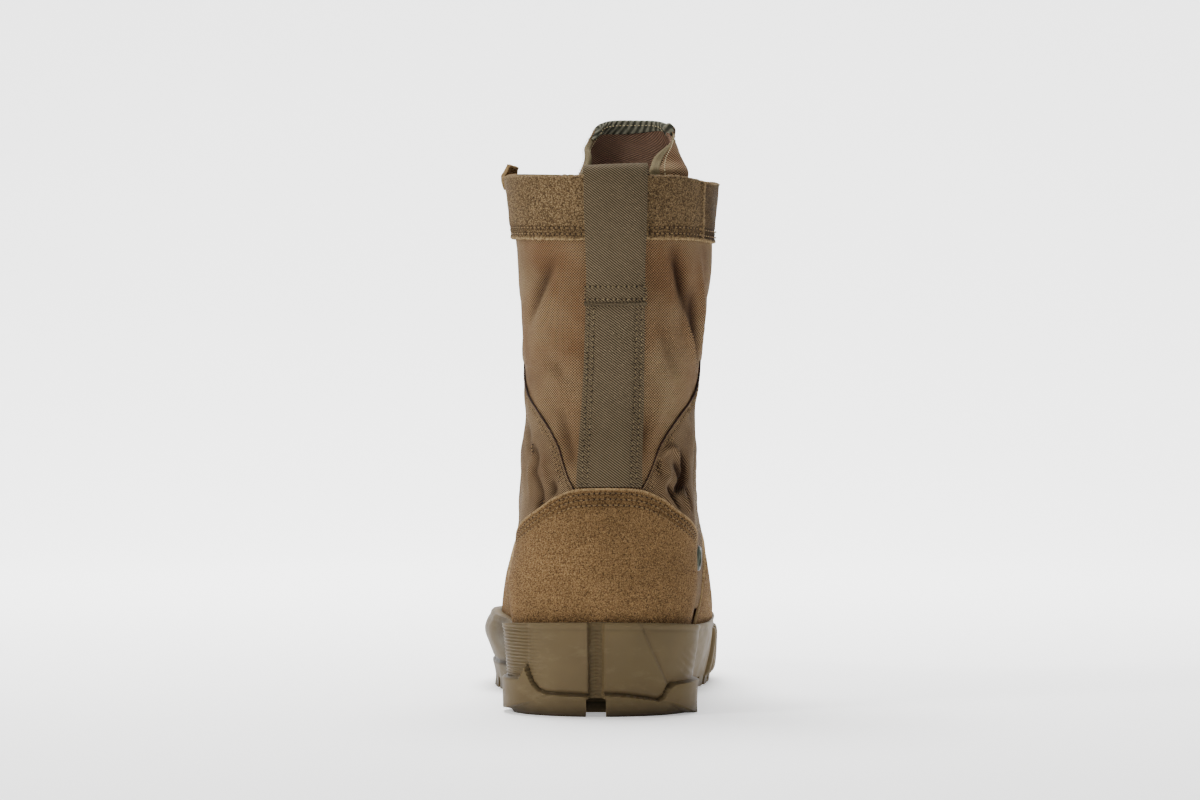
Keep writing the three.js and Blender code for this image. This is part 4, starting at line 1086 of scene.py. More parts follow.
def seam_turn(row):
    """The upright seam where the band meets the inner facing, a little askew."""
    return 1.02 + 0.17 * (row - 10.18)


def lay_band(u, v):
    """v runs up outside to BAND_OUTSIDE, over the top to BAND_OVER and down inside to 1."""
    up = np.clip(v / BAND_OUTSIDE, 0, 1)
    over = np.clip((v - BAND_OUTSIDE) / (BAND_OVER - BAND_OUTSIDE), 0, 1)
    down = np.clip((v - BAND_OVER) / (1 - BAND_OVER), 0, 1)
    outside = v < BAND_OUTSIDE
    row = mix(BAND_ROW, TOP_ROW - 0.03, up) - down * 0.55
    offset = mix(ON_TOP, -WALL - 0.5 - SUEDE, (1 - np.cos(math.pi * over)) / 2)
    start = throat_edge(row[:, 0], -1, EYESTAY_WIDE + 0.8)[:, None]
    end = throat_edge(row[:, 0], 1, EYESTAY_WIDE + 0.8)[:, None]
    turn = mix(start, end, u)
    bare = last_point(turn, row)
    foot = np.linalg.norm(bare - last_point(turn, BAND_ROW), axis=-1)
    edge = np.where(outside, np.minimum(foot, BAND_HIGH + 0.3 - foot), 0.5)
    edge = np.minimum(edge + 0.6 * (foot > 20), np.minimum(u, 1 - u) * 240)
    relief = np.where(v < 0.6, stitch_dents(foot, *BAND_SEAMS) + raw_edge(foot, 0.3), 0)
    relief = relief + slow_waves(bare, 9, 0.25, 5.0) * np.where(v < 0.55, 1, 0.2)
    beyond = (turn - seam_turn(row)) * 40
    relief = relief + (0.8 * hill(beyond + 0.4, 1.1) - 0.5 * smooth(beyond / 2)) * outside
    edge = np.minimum(edge, 0.2 + np.abs(beyond + 0.4) * 1.2)
    points = on_last(turn, row, offset + relief)
    points[..., 2] += 1.2 * np.sin(math.pi * over)
    x, y, z = (bare[..., k] for k in range(3))
    fray = np.sin(x * 2.3) + 0.7 * np.sin(x * 5.1 + 1) + 0.6 * np.sin(y * 4.3)
    points[..., 2] += 0.16 * fray * (hill(over - 0.5, 0.5) * (over > 0) + np.exp(-foot / 0.8) * outside)
    # Beyond the upright seam the band gets painted shade; it is also darker along that seam's stitches.
    seam = seam_darkening(foot, *BAND_SEAMS) + 0.62 * smooth((beyond - 0.6) / 3) + 0.4 * hill(beyond + 2.2, 0.9)
    return points, np.stack([turn * 45, z], -1), {"edge": edge, "seam": np.clip(seam * outside, 0, 1)}


band = laid_grid("collar_band_suede", 170, 62, lay_band)
thicken(band, SUEDE, 0.3)
dress(band, suede_top, ["collar_band"])

# %% The raw end of the leather at the collar's outer corner
CORNER_FLAT = 12


def lay_corner(u, v):
    end = float(throat_edge(TOP_ROW, -1, EYESTAY_WIDE + 0.8)[0])
    turn = end + 0.12 - 0.2 * u + 0.012 * np.sin(9 * v)
    rise = np.clip((v - 0.4) / 0.6, 0, 1)
    row = mix(TOP_ROW - 0.16, TOP_ROW, np.clip(v / 0.4, 0, 1))
    points = on_last(turn, row, ON_TOP + 0.1 - 2.2 * rise + 0.5 * np.sin(7 * u + 5 * v))
    points[..., 2] += rise * (4.4 - 2.5 * np.abs(u - 0.3) ** 1.5 + 0.25 * np.sin(u * 15))
    edge = np.minimum(np.minimum(u, 1 - u), 1 - v) * CORNER_FLAT
    return points, np.stack([u, v], -1) * CORNER_FLAT, {"edge": edge}


corner = laid_grid("collar_corner_suede", 22, 20, lay_corner)
thicken(corner, 1.5, 0.3)
dress(corner, suede_raw, (), 70)

# %% [markdown]
# ## Back strip and pull tab
# Webbing covers the back seam. The pull tab is the same webbing, a little wider: it is
# sewn on in a small box, goes up over the collar and down inside.

# %% Strip
STRIP_WIDE, STRIP_SEAMS, STRIP_SEWN = 26.4, (2.1, 4.3), (98.5, 176)
TAB_WIDE, TAB_INSET, WEBBING = 27.5, 1.6, 1.5


def strip_centre(row):
    return mix(0.036, 0.062, smooth((row - 6) / 4)) * BALL


def lay_strip(u, v):
    first, last = row_at_back(HEEL_HIGH + ANKLE_RISE * 0.685), row_at_back(COLLAR_Z - BAND_HIGH - 0.6)
    row = mix(first, last, v)
    x = strip_centre(row) + (u - 0.5) * STRIP_WIDE * mix(1.02, 0.92, smooth((row - 6) / 4))
    turn = turn_at_x(row, x)
    bare = last_point(turn, row)
    side = (0.5 - np.abs(u - 0.5)) * STRIP_WIDE
    relief = stitch_dents(side, *STRIP_SEAMS) + slow_waves(bare, 9, 0.1, 6.0)
    return on_last(turn, row, ON_TOP + relief), np.stack([x, bare[..., 2]], -1), {}


strip = laid_grid("back_strip_webbing", 60, 110, lay_strip)
thicken(strip, SUEDE, 0.25)
dress(strip, webbing, ["back_strip"])

# %% Tab: heights and how far the strap lies above the last
TAB_SEAMS = (178.0, 183.4)
TAB_PATH = np.array([
    (175.9, 3.35), (180, 3.3), (187, 3.3), (194, 3.7), (203, 4.3), (213, 4.5), (222, 4.2), (229, 3.5),
    (233.2, 2.3), (235.2, 0.4), (235.8, -1.6), (235.0, -3.6), (232, -4.7), (226, -5.0), (219, -5.0), (209, -4.9),
])


def lay_tab(u, v):
    path = spline(TAB_PATH, v * (len(TAB_PATH) - 1))
    z, offset = path[..., 0], path[..., 1]
    row = np.vectorize(row_at_back)(np.minimum(z[:, :1], COLLAR_Z - 0.1)) + 0 * u
    x = strip_centre(row) + (u - 0.5) * TAB_WIDE * mix(0.9, 1.0, smooth((z - 176) / 50))
    free = smooth((z - 192) / 12) * smooth((236 - z) / 8) * (offset > 0)
    stand = 1.3 * smooth((u - 0.45) / 0.5) * free
    points = on_last(turn_at_x(row, x), row, offset + stand)
    points[..., 0] = x
    points[..., 2] = z + (u - 0.5) * 1.3 * smooth((z - 225) / 8)
    return points, np.stack([x, run_along(path[:, 0])[:, None] + 0 * u], -1), {}


tab = laid_grid("pull_tab_webbing", 44, 130, lay_tab)
thicken(tab, WEBBING, 0.35)
dress(tab, webbing, ["pull_tab"])
hem_row = np.full(30, row_at_back(176.1))
hem_x = strip_centre(hem_row) + np.linspace(-0.45, 0.45, 30) * TAB_WIDE
fold = tube("pull_tab_fold", on_last(turn_at_x(hem_row, hem_x), hem_row, 2.9), 0.95, 8)
dress(fold, webbing, (), 80)

# %% [markdown]
# ## Tongue
# The tongue is nylon outside, mesh inside and a little foam between. It lies under the
# lacing, stands above the collar and curls towards the inner side. Its sections are those
# of its solid; a smooth curve runs through them.

# %% Tongue sections
TONGUE_THICK, TONGUE_RISE, TONGUE_WIDE, TONGUE_FLAT = 3.4, 22.6, 56, 64
TONGUE_TOP = np.array([
    [0.2, 0.56, 0.5, -1.6, 2.45, -0.24],
    [0.273, 0.43, 0.36, -1.95, 2.8, -0.16],
    [0.248, 0.385, 0.3, -1.75, 2.35, -0.1],
    [0.256, 0.32, 0.24, -1.45, 1.55, -0.05],
])
TONGUE_RISES = [-0.6, 0.0, 0.5, 1.0]


def tongue_section(v_index, share):
    """One line of the tongue's outer face, from the outer side to the inner side."""
    if v_index < 9:
        s = v_index / 8
        row = mix(5.1, TOP_ROW - 1.3, s)
        width = mix(0.62, 0.95, smooth(s)) * HEEL / 2
        turn = np.array([turn_from_front(row, -1 if c < 0 else 1, max(abs(c) * width, 0.001))[0]
                         for c in share * 2 - 1])
        return on_last(turn, row, -WALL - 0.8)
    rise = (-0.1, 0.2, 0.5, 0.8, 1.0)[v_index - 9]
    centre, half, depth, left, right, back = spline(TONGUE_TOP, np.interp(rise, TONGUE_RISES, range(4)))
    angle = mix(left, right, share)
    front, top = last_point(math.pi, TOP_ROW)[1:]
    y = front - WALL - 0.6 + (back - depth) * TONGUE_WIDE + depth * TONGUE_WIDE * np.cos(angle)
    x = (centre + half * np.sin(angle)) * TONGUE_WIDE
    return np.stack([x, y, np.full_like(x, top + rise * TONGUE_RISE)], -1)


ACROSS, TONGUE_SPAN = 61, 62
SECTIONS = [tongue_section(k, np.linspace(0, 1, ACROSS)) for k in range(14)]
SECTIONS[9:9] = [mix(SECTIONS[8], SECTIONS[9], share) for share in (0.4, 0.75)]
SECTIONS = np.stack(SECTIONS)


def grid_normals(points):
    return unit(np.cross(np.gradient(points, axis=1), np.gradient(points, axis=0)))


def tongue_face(u, v, depth):
    """The tongue's surface at a depth below its outer face."""
    rows = spline(SECTIONS, v[:, 0] * (len(SECTIONS) - 1))
    share = (1 - u[0]) * (ACROSS - 1)
    points = np.stack([spline(line, share) for line in rows])
    corner = smooth((v - 0.8) / 0.2) * np.abs(u * 2 - 1) ** 4
    points[..., 2] -= 4.4 * corner
    thin = 1 - 0.6 * np.exp(-np.minimum(u, 1 - u) * TONGUE_SPAN / 3.0)
    deep = TONGUE_THICK / 2 + (depth - TONGUE_THICK / 2) * thin
    return points - grid_normals(points) * deep[..., None]


def lay_tongue(depth, swell):
    def lay(u, v):
        points = tongue_face(u, v, depth)
        side = np.minimum(u, 1 - u) * TONGUE_SPAN
        relief = swell * (1 - np.exp(-side / 6)) + slow_waves(points, 8, 0.25, 7.0)
        points = points + grid_normals(points) * relief[..., None]
        run = run_along(points[:, points.shape[1] // 2])[:, None]
        return points, np.stack([(u - 0.5) * TONGUE_FLAT, run + 0 * u], -1), {}
    return lay


tongue = laid_grid("tongue_nylon", 60, 130, lay_tongue(0.5, 0.4))
thicken(tongue, 0.9, 0.3)
dress(tongue, nylon, ["tongue"], 70)
tongue_mesh = laid_grid("tongue_lining", 40, 90, lay_tongue(2.2, 0.0))
thicken(tongue_mesh, 0.7, 0.3)
dress(tongue_mesh, lining, (), 70)


# %% Tape round the tongue's edges
def edge_tape(name, line, inward, normal, reach, half, material, waves=0.0):
    """A tape folded over an edge: line along the edge, inward into the piece."""
    def lay(u, v):
        at = v[:, 0] * (len(line) - 1)
        middle, into, out = (spline(a, at)[:, None, :] for a in (line, inward, normal))
        bend = np.clip((u - 0.5) * 2, -1, 1)
        flat = np.clip((np.abs(bend) - 0.3) / 0.7, 0, 1) * reach
        round_turn = np.clip(np.abs(bend) / 0.3, 0, 1) * math.pi / 2
        deep = flat - half * np.cos(round_turn) * 0.9
        high = np.sign(bend) * np.sin(round_turn) * half
        ends = 1 - np.minimum(1, 12 * np.minimum(v, 1 - v))
        ridges = waves * np.sin(v * 2 * math.pi * 16 + bend * 2.2) - 0.5 * ends
        points = middle + into * deep[..., None] + out * (high * (1 + ridges))[..., None]
        return points, np.stack([bend * (reach + 2), v * run_along(line)[-1]], -1), {}
    tape_piece = laid_grid(name, 18, 120, lay)
    apply_modifier(tape_piece, "SOLIDIFY", thickness=0.5 * MM, offset=0)
    return dress(tape_piece, material, (), 75)


fine_u, fine_v = np.meshgrid(np.linspace(0, 1, ACROSS), np.linspace(0, 1, 131))
FACE = tongue_face(fine_u, fine_v, TONGUE_THICK / 2)
FACE_OUT = grid_normals(FACE)
side_face, side_out = FACE[20:-7], FACE_OUT[20:-7]
for word, edge, within, seat, reach in (("medial", 0, 4, 2, 3.2), ("lateral", -1, -5, -3, 2.2)):
    inward = unit(side_face[:, within] - side_face[:, edge])
    edge_tape("tongue_binding_" + word, side_face[:, edge], inward, side_out[:, seat], reach, 1.15, binding)
edge_tape("tongue_top_tape", FACE[-1, 2:-2], unit(FACE[-5] - FACE[-1])[2:-2], FACE_OUT[-2, 2:-2],
          5.4, 1.6, tape, 0.16)
places = []
for face, out in ((1, -1), (-1, 1)):
    top = FACE[-4, 4:-4] + FACE_OUT[-4, 4:-4] * out * 2.3
    places += stitches_along(top, FACE_OUT[-4, 4:-4] * out, 1.7, 1.15, 0.5)
    for column in (3, -4):
        edge = FACE[60:-5, column] + FACE_OUT[60:-5, column] * out * 1.75
        places += stitches_along(edge, FACE_OUT[60:-5, column] * out, 1.7, 1.15, 0.5)
joined_stitches("stitches_tongue", places, thread_pale)

# %% [markdown]
# ## The sole
# The sole is one moulded rubber unit. A fine grid follows its wall, from sections taken
# along the foot, then turns in over the rim, goes down inside the cup and closes. The
# heel's panels, groove, tray and ribs are relief on that wall, in the boot's own sizes.
# The tread's channels are cut from below with boxes.

# %% Sections of the sole
SOLE = np.array([
    [0.0, 0.0, 1.55, 1.55, 0.366, 0.369, 0.38, 0.389, 0.368, 0.37, 0.392, 0.403],
    [0.13, 0.0, 1.45, 1.41, 0.366, 0.369, 0.38, 0.389, 0.368, 0.37, 0.392, 0.403],
    [0.267, 0.0, 1.33, 1.29, 0.335, 0.348, 0.365, 0.374, 0.335, 0.34, 0.36, 0.374],
    [0.383, 0.0, 1.29, 1.23, 0.305, 0.324, 0.36, 0.364, 0.3, 0.32, 0.355, 0.378],
    [0.43, 0.0, 1.3, 1.21, 0.33, 0.35, 0.39, 0.388, 0.33, 0.355, 0.4, 0.418],
    [0.5, 0.0, 1.35, 1.2, 0.41, 0.425, 0.468, 0.45, 0.395, 0.42, 0.458, 0.468],
    [0.6, 0.0, 1.38, 1.22, 0.449, 0.457, 0.494, 0.466, 0.46, 0.475, 0.492, 0.494],
    [0.717, 0.02, 1.34, 1.24, 0.43, 0.446, 0.475, 0.455, 0.483, 0.497, 0.502, 0.503],
    [0.85, 0.13, 1.32, 1.3, 0.315, 0.335, 0.352, 0.348, 0.4, 0.425, 0.44, 0.436],
    [0.95, 0.36, 1.46, 1.44, 0.29, 0.31, 0.325, 0.32, 0.37, 0.395, 0.41, 0.405],
    [1.0, 0.54, 1.62, 1.62, 0.28, 0.3, 0.315, 0.31, 0.36, 0.385, 0.4, 0.395],
])
SWING = 0.055 * BALL
LUG_DEEP, LUG_PITCH, CHANNEL = 5, 16, 5.5


def sole_at(y):
    """Spring, tops and half widths of the sole at places along the foot."""
    share = np.clip((y + SETBACK) / FOOT, 0, 1)
    return np.moveaxis(spline(SOLE[:, 1:], np.interp(share, SOLE[:, 0], np.arange(len(SOLE)))), -1, 0)


def sole_outline(turn, level):
    """Points of the sole's bare wall: level is 0 at the floor and 1 at the rim."""
    side = np.where(turn >= 0, 1, -1)
    share = (1 - np.cos(turn)) / 2
    back = mix(0.005, 0.0, level) * FOOT - SETBACK
    toe = np.interp(level, [0, 0.06, 0.17, 0.4, 0.72, 1], [0.04, 0.033, 0.022, 0.008, 0, 0.005])
    front = (1 - toe) * FOOT - SETBACK
    y = mix(back, front, share)
    ends = end_round((front - back) * share, 0.3 * BALL) * end_round((front - back) * (1 - share), 0.5 * BALL)
    at = sole_at(y)
    widths = np.where(side > 0, at[7:11], at[3:7])
    knots = (0.0, 0.3, 0.72, 1.0)
    width = sum(
        widths[i] * np.prod([(level - knots[j]) / (knots[i] - knots[j]) for j in range(4) if j != i], axis=0)
        for i in range(4)) * BALL
    centre = SWING * smooth((y / FOOT - 0.2) / 0.5)
    spring = np.maximum(at[0], 0) * HEEL_HIGH
    top = np.where(side > 0, at[2], at[1]) * HEEL_HIGH
    return np.stack([centre + (side * width - centre) * ends, y, spring + level * (top - spring)], -1)


# %% Relief of the heel
GROOVE_X = -0.016 * BALL
TRAY_TOP = [(-44, 15.8), (-39, 15.8), (-32.5, 16.6), (-30.9, 21.5), (-29.6, 17.5), (-28, 13.6), (-25.6, 10.8),
            (-22.5, 9.7), (-5, 9.1), (2, 9.7), (12, 8.9), (20, 7.6), (24.5, 6.6), (26.8, 7.8), (28.6, 11.6),
            (31.0, 13.6), (39, 14.4), (44, 14.4)]


def heel_relief(x, y, z):
    """How far the heel's wall stands out, and how much painted shade its grooves, lips, low tray and inner side
    get.
    """
    heel = 1 - smooth((y + 4) / 16)
    tray_top = np.interp(x, *np.array(TRAY_TOP).T)
    tray = 1 - step_up(z - tray_top, 0.8)
    bevel = np.clip((z - 0.2) / 7.6, 0, 1) ** 0.9
    left_facet = step_up(-21 - (9.5 - z) * 2.4 - x, 1.6)
    right_facet = step_up(x - 24.8 - (8.1 - z) * 1.7, 1.6)
    facet = np.maximum(left_facet, right_facet)
    boxy = hill(np.abs(x - 0.2) - 35, 6.0)
    relief = tray * mix(mix(-2.2, 2.5, bevel), 1.5 + 1.6 * boxy, facet)
    lip = hill(z - tray_top - 0.6, 0.75) * step_up(x + 33, 1.5) * step_up(31 - x, 3)
    groove = 1 - step_up(np.abs(x - GROOVE_X) - 3.1, 0.7)
    ribs = 0.15 * np.sin(2 * math.pi * (z + 0.25 * np.abs(x - GROOVE_X)) / 1.5)
    relief = mix(relief, -2.7 + ribs, groove * step_up(z - 7, 1.0))
    above = (1 - tray) * (1 - groove)
    relief -= above * 0.9 * lip
    left_panel = step_up(x + 30.4, 0.8) * step_up(GROOVE_X - x, 0.6)
    side_ribs = (1 - smooth((x + 33) / 11)) * step_up(z - 15, 2)
    relief += above * (0.45 * left_panel - 0.1)
    relief += above * side_ribs * 0.24 * np.sin(2 * math.pi * z / 1.45)
    slant = (x - 17.2) * 0.93 - (40.2 - z) * 0.42
    crease = hill(slant, 0.6) * step_up(z - 10, 1) * step_up(x - 14, 1)
    beyond = step_up(slant, 1.2) * step_up(x - 10, 1)
    relief -= above * (0.45 * crease + 0.5 * beyond)
    medial_marks = step_up(x - 35, 3) * step_up(z - 15, 3) * (1 - step_up(z - 27, 4))
    relief += above * medial_marks * 0.1 * np.sin(2 * math.pi * (z * 0.7 + x * 0.7) / 2.8)
    slot = hill(z - 15.8, 0.55) * (1 - step_up(x + 33.0, 1))
    relief -= 1.1 * slot
    # Painted shade: under the lip, in the groove and slot, along the crease, low on the tray and at the bottom
    # edge, along the groove's left wall, between the side ribs and over the heel's inner half.
    painted_shade = 0.5 * lip * above + 0.1 * groove + 0.5 * slot + 0.15 * crease * above
    painted_shade += tray * (0.16 - 0.12 * facet) * (1 - smooth((z - 5.5) / 4.5)) + 0.3 * (1 - smooth(z / 2.2))
    painted_shade += 0.3 * hill(x - GROOVE_X + 3.4, 0.6) * (z > 9)
    painted_shade += 0.15 * side_ribs * above * (0.5 - 0.5 * np.sin(2 * math.pi * z / 1.45))
    painted_shade += 0.1 * smooth((x - GROOVE_X - 1) / 4) * (1 - smooth((y + 12) / 14))
    return relief * heel, painted_shade * heel


def side_relief(x, y, z, top):
    """Ribs along the waist, the flare at the outer ball and the rim's lip, with their painted shade."""
    waist = smooth((y - 2) / 12) * (1 - smooth((y - 66) / 14))
    ribs = 0.3 * np.sin(2 * math.pi * z / 3.1) * step_up(z - 9, 2) * (1 - step_up(z - top + 4, 2))
    relief = waist * ribs
    outer = (x < 0) * 1.0
    flare = outer * smooth((y - 84) / 10) * (1 - smooth((y - 150) / 14))
    relief += flare * 1.2 * hill(z - 27, 5.5)
    relief += flare * 1.3 * (1 - step_up(z - 12.6, 2.4)) - flare * 0.7 * hill(z - 13.2, 1.1)
    fore = smooth((y - 160) / 14)
    relief += fore * 0.35 * np.sin(2 * math.pi * y / 7.5) * step_up(z - 9, 2) * (1 - step_up(z - top + 5, 2))
    lip = hill(z - top + 1.0, 0.75)
    under = hill(z - top + 3.0, 0.6)
    # Painted shade: under the rim's lip, on the flare and in its notch, low down, in the waist and more on its
    # inner side, and behind the outer flare.
    painted_shade = 0.1 * under + 0.3 * flare + 0.5 * flare * hill(z - 13.2, 1.3) + 0.35 * (1 - smooth((z - 1) / 5))
    painted_shade += waist * (0.3 * (1 - smooth((z - 8) / 14)) + 0.4 * (x > 0))
    painted_shade += outer * 0.3 * smooth((y - 60) / 12) * (1 - smooth((y - 94) / 14))
    return relief + 0.4 * lip - 0.12 * under, painted_shade


# %% Wall, rim, cup and bottom in one grid
BOTTOM_ROWS, WALL_ROWS, CUP_ROWS = 5, 108, 10


def rim_partner(turn, height):
    """The rows at which the upper stands as high as the rim, turn by turn."""
    low, high = np.zeros(len(turn)), np.full(len(turn), 4.0)
    for _ in range(22):
        row = (low + high) / 2
        under = last_point(turn, row)[:, 2] < height
        low, high = np.where(under, row, low), np.where(under, high, row)
    return row


def mid_line(y, height, inset):
    """The sole's middle line: where the two sides of its floor meet."""
    y = mix(y, 110, inset)
    return np.stack([SWING * smooth((y / FOOT - 0.2) / 0.5), y, height], -1)


def lay_sole(u, v):
    guide = np.linspace(0, math.pi, 1201)
    outline = sole_outline(guide, np.full_like(guide, 0.7))
    steps = np.linalg.norm(np.diff(outline, axis=0), axis=1) * np.where(outline[1:, 1] < 4, 2.6, 1.0)
    run = np.concatenate([[0], np.cumsum(steps)])
    half = np.interp(np.linspace(0, run[-1], u.shape[1] // 2 + 1), run, guide)
    turn = np.concatenate([-half[:0:-1], half])
    level = np.linspace(0, 1, WALL_ROWS + 1)
    wall = sole_outline(turn[None, :] + 0 * level[:, None], level[:, None] + 0 * turn[None, :])
    wall[:, 0] = wall[:, -1] = (wall[:, 0] + wall[:, -1]) / 2
    bare = wall[:, :, 1].mean(0)
    normal = grid_normals(wall)
    normal[:, 0] = normal[:, -1] = normal[:, 0] + normal[:, -1]
    normal[..., 2] = 0
    normal = unit(normal)
    x, y, z = (wall[..., k] for k in range(3))
    heel, heel_painted_shade = heel_relief(x, y, z)
    sides, side_painted_shade = side_relief(x, y, z, wall[-1:, :, 2])
    wall = wall + normal * (heel + sides)[..., None]
    rim = wall[-1]
    row = rim_partner(turn, rim[:, 2] - 0.6)
    inner = on_last(turn, row, 2.0)
    cup = [mix(rim, inner, s) + [0, 0, 0.35 * math.sin(math.pi * s)] for s in (0.3, 0.7, 1.0)]
    cup += [on_last(turn, mix(row, 0.15, s), 2.0) for s in (0.25, 0.5, 0.75, 1.0)]
    foot = cup[-1]
    spine = mid_line(bare, (foot[:, 2] + foot[::-1, 2]) / 2, 0.1)
    cup += [mix(foot, spine, s) for s in (0.35, 0.7, 1.0)]
    base = wall[0]
    keel = mid_line(bare, (base[:, 2] + base[::-1, 2]) / 2, 0.06)
    bottom = [mix(base, keel, s) for s in (1.0, 0.75, 0.5, 0.25, 0.08)]
    rows = np.concatenate([np.stack(bottom), wall, np.stack(cup)])
    # Painted shade on the sole's underside; none inside the cup.
    below, inside = np.full((BOTTOM_ROWS, len(turn)), 0.8), np.zeros((CUP_ROWS, len(turn)))
    painted_shade = np.concatenate([below, heel_painted_shade + side_painted_shade, inside])
    return rows, rows[..., :2], {"painted_shade": np.clip(painted_shade, 0, 0.9)}


sole = laid_grid("outsole_rubber", 520, BOTTOM_ROWS + WALL_ROWS + CUP_ROWS, lay_sole)
close_up(sole, 0.03)


# %% Channels between the lugs
def box_cutter(size, middle, turn=0.0):
    bpy.ops.mesh.primitive_cube_add(size=1)
    box = bpy.context.object
    bpy.ops.object.mode_set(mode="EDIT")
    bpy.ops.mesh.select_all(action="SELECT")
    bpy.ops.transform.resize(value=tuple(s * MM for s in size))
    bpy.ops.transform.rotate(value=turn, orient_axis="Z", center_override=(0, 0, 0))
    bpy.ops.transform.translate(value=tuple(m * MM for m in middle))
    bpy.ops.object.mode_set(mode="OBJECT")
    return box


def tread_boxes():
    reach, sweep, deep = BALL * 0.7, 0.3, LUG_DEEP * 4
    boxes = []
    for y in np.arange(0.505 * FOOT - SETBACK, 0.93 * FOOT - SETBACK, LUG_PITCH):
        top = max(0, float(sole_at(np.array(y))[0])) * HEEL_HIGH + LUG_DEEP
        for side in (-1, 1):
            middle = (side * reach / 2, y - reach / 2 * math.tan(sweep) + CHANNEL, top - deep / 2)
            boxes.append(((reach * 1.08, CHANNEL, deep), middle, side * sweep))
        middle = (SWING, y + LUG_PITCH * 0.2, top - deep / 2 - 0.01)
        boxes.append(((CHANNEL, LUG_PITCH * 1.1, deep), middle, 0))
    for y in (-0.4 * SETBACK, 0.45 * SETBACK):
        boxes.append(((HEEL * 0.78, CHANNEL, deep), (0, y, LUG_DEEP - deep / 2), 0))
    boxes.append(((8.5, SETBACK * 1.16, 16), (GROOVE_X, -SETBACK, 0), 0))
    arch_start, arch_end = 0.285 * FOOT - SETBACK, 0.455 * FOOT - SETBACK
    boxes.append(((BALL * 1.4, arch_end - arch_start, 14), (0, (arch_start + arch_end) / 2, 0), 0))
    return boxes


for size, middle, turn in tread_boxes():
    bpy.ops.object.select_all(action="DESELECT")
    box = box_cutter(size, middle, turn)
    apply_modifier(sole, "BOOLEAN", operation="DIFFERENCE", object=box, solver="EXACT")
    bpy.data.objects.remove(box)
dress(sole, rubber, ["outsole"], 38)


# %% Rope ribs on the inner ball
def dome(share, power):
    return np.sqrt(np.clip(1 - (2 * share - 1) ** power, 0, 1))


def lay_rib(y_middle):
    def lay(u, v):
        level = mix(0.12, 0.86, v)
        y = y_middle + (u - 0.5) * 7 + 3.0 * v
        share = np.clip((y + SETBACK) / FOOT, 0.01, 0.99)
        wall = sole_outline(np.arccos(1 - 2 * share), level)
        wall[..., 0] += 2.6 * dome(u, 4) * dome(v, 8) - 0.6
        return wall, wall[..., 1:], {}
    return lay


ribs = []
for i in range(5):
    rib = laid_grid("rope_rib_%d" % (i + 1), 14, 26, lay_rib(0.6 * FOOT - SETBACK + i * LUG_PITCH * 0.82))
    apply_modifier(rib, "SOLIDIFY", thickness=2.5 * MM, offset=-1.0)
    ribs.append(rib)
dress(joined("rope_ribs", ribs), rubber)

# %% [markdown]
# ## Insole
# A thin foam bed with a cloth top lies in the cup. It is only seen from above.


# %% Insole
def lay_insole(u, v):
    ring = v[:, :1] * math.pi
    right, left = on_last(ring, 0.35, -WALL - 0.9), on_last(-ring, 0.35, -WALL - 0.9)
    points = mix(left, right, (1 - np.cos(math.pi * u))[..., None] / 2)
    points[..., 2] += 3.4 - 1.2 * (1 - (2 * u - 1) ** 2)
    return points, points[..., :2], {}


insole = laid_grid("insole_cloth", 40, 120, lay_insole)
apply_modifier(insole, "WELD", merge_threshold=0.05 * MM)
thicken(insole, 2.6, 0.4)
dress(insole, lining, ["insole"], 70)

# %% [markdown]
# ## Eyelets, hooks and vents
# Each kind of metal part is modelled once, lying flat at the origin, and each copy gets
# its own mesh and its place on the last.

# %% Places up the lacing
PAIRS, EYELETS = 8, 4
EYELET_INSET = EYESTAY_WIDE * 0.36
EYELET_WIDE, EYELET_HOLE, METAL_SEAT = 10.5, 5, 0.4


def pair_row(i):
    return mix(EYESTAY_ROW + 0.35, TOP_ROW - 0.45, (i / (PAIRS - 1)) ** 0.85)


def surface_frame(turn, row, base):
    """A matrix whose Z faces out of the last and whose Y goes up it."""
    place = on_last(turn, row, base)
    out = outward(np.array(turn), np.array(row, float))
    rise = on_last(turn, row + 0.1) - on_last(turn, row - 0.1)
    across = unit(np.cross(rise, out))
    up = unit(np.cross(out, across))
    matrix = Matrix.Identity(4)
    for k, axis in enumerate((across, up, out)):
        for j in range(3):
            matrix[j][k] = axis[j]
    for j in range(3):
        matrix[j][3] = place[j] * MM
    return matrix


def lacing_turn(i, side):
    return float(throat_edge(pair_row(i), side, EYELET_INSET)[0])


def lacing_frame(i, side):
    return surface_frame(lacing_turn(i, side), pair_row(i), 2.0 + METAL_SEAT)


def placed_copies(name, template, matrices, material, replaced=()):
    copies = []
    for matrix in matrices:
        copy = bpy.data.objects.new(name, template.data.copy())
        copy.data.transform(matrix)
        bpy.context.scene.collection.objects.link(copy)
        copies.append(copy)
    bpy.data.objects.remove(template)
    return dress(joined(name, copies), material, replaced, 45)


# %% Eyelet: a ring spun from its section
def spun_ring(name, section, steps=28):
    bpy.ops.object.select_all(action="DESELECT")
    bpy.ops.mesh.primitive_circle_add(vertices=len(section), radius=1)
    ring = bpy.context.object
    ring.name = name
    for vertex, (r, z) in zip(ring.data.vertices, section):
        vertex.co = (r * MM, 0, z * MM)
    bpy.ops.object.mode_set(mode="EDIT")
    bpy.ops.mesh.select_all(action="SELECT")
    bpy.ops.mesh.spin(steps=steps, angle=2 * math.pi, center=(0, 0, 0), axis=(0, 0, 1))
    bpy.ops.mesh.select_all(action="SELECT")
    bpy.ops.mesh.remove_doubles(threshold=0.00001)
    bpy.ops.mesh.normals_make_consistent(inside=False)
    bpy.ops.object.mode_set(mode="OBJECT")
    return ring


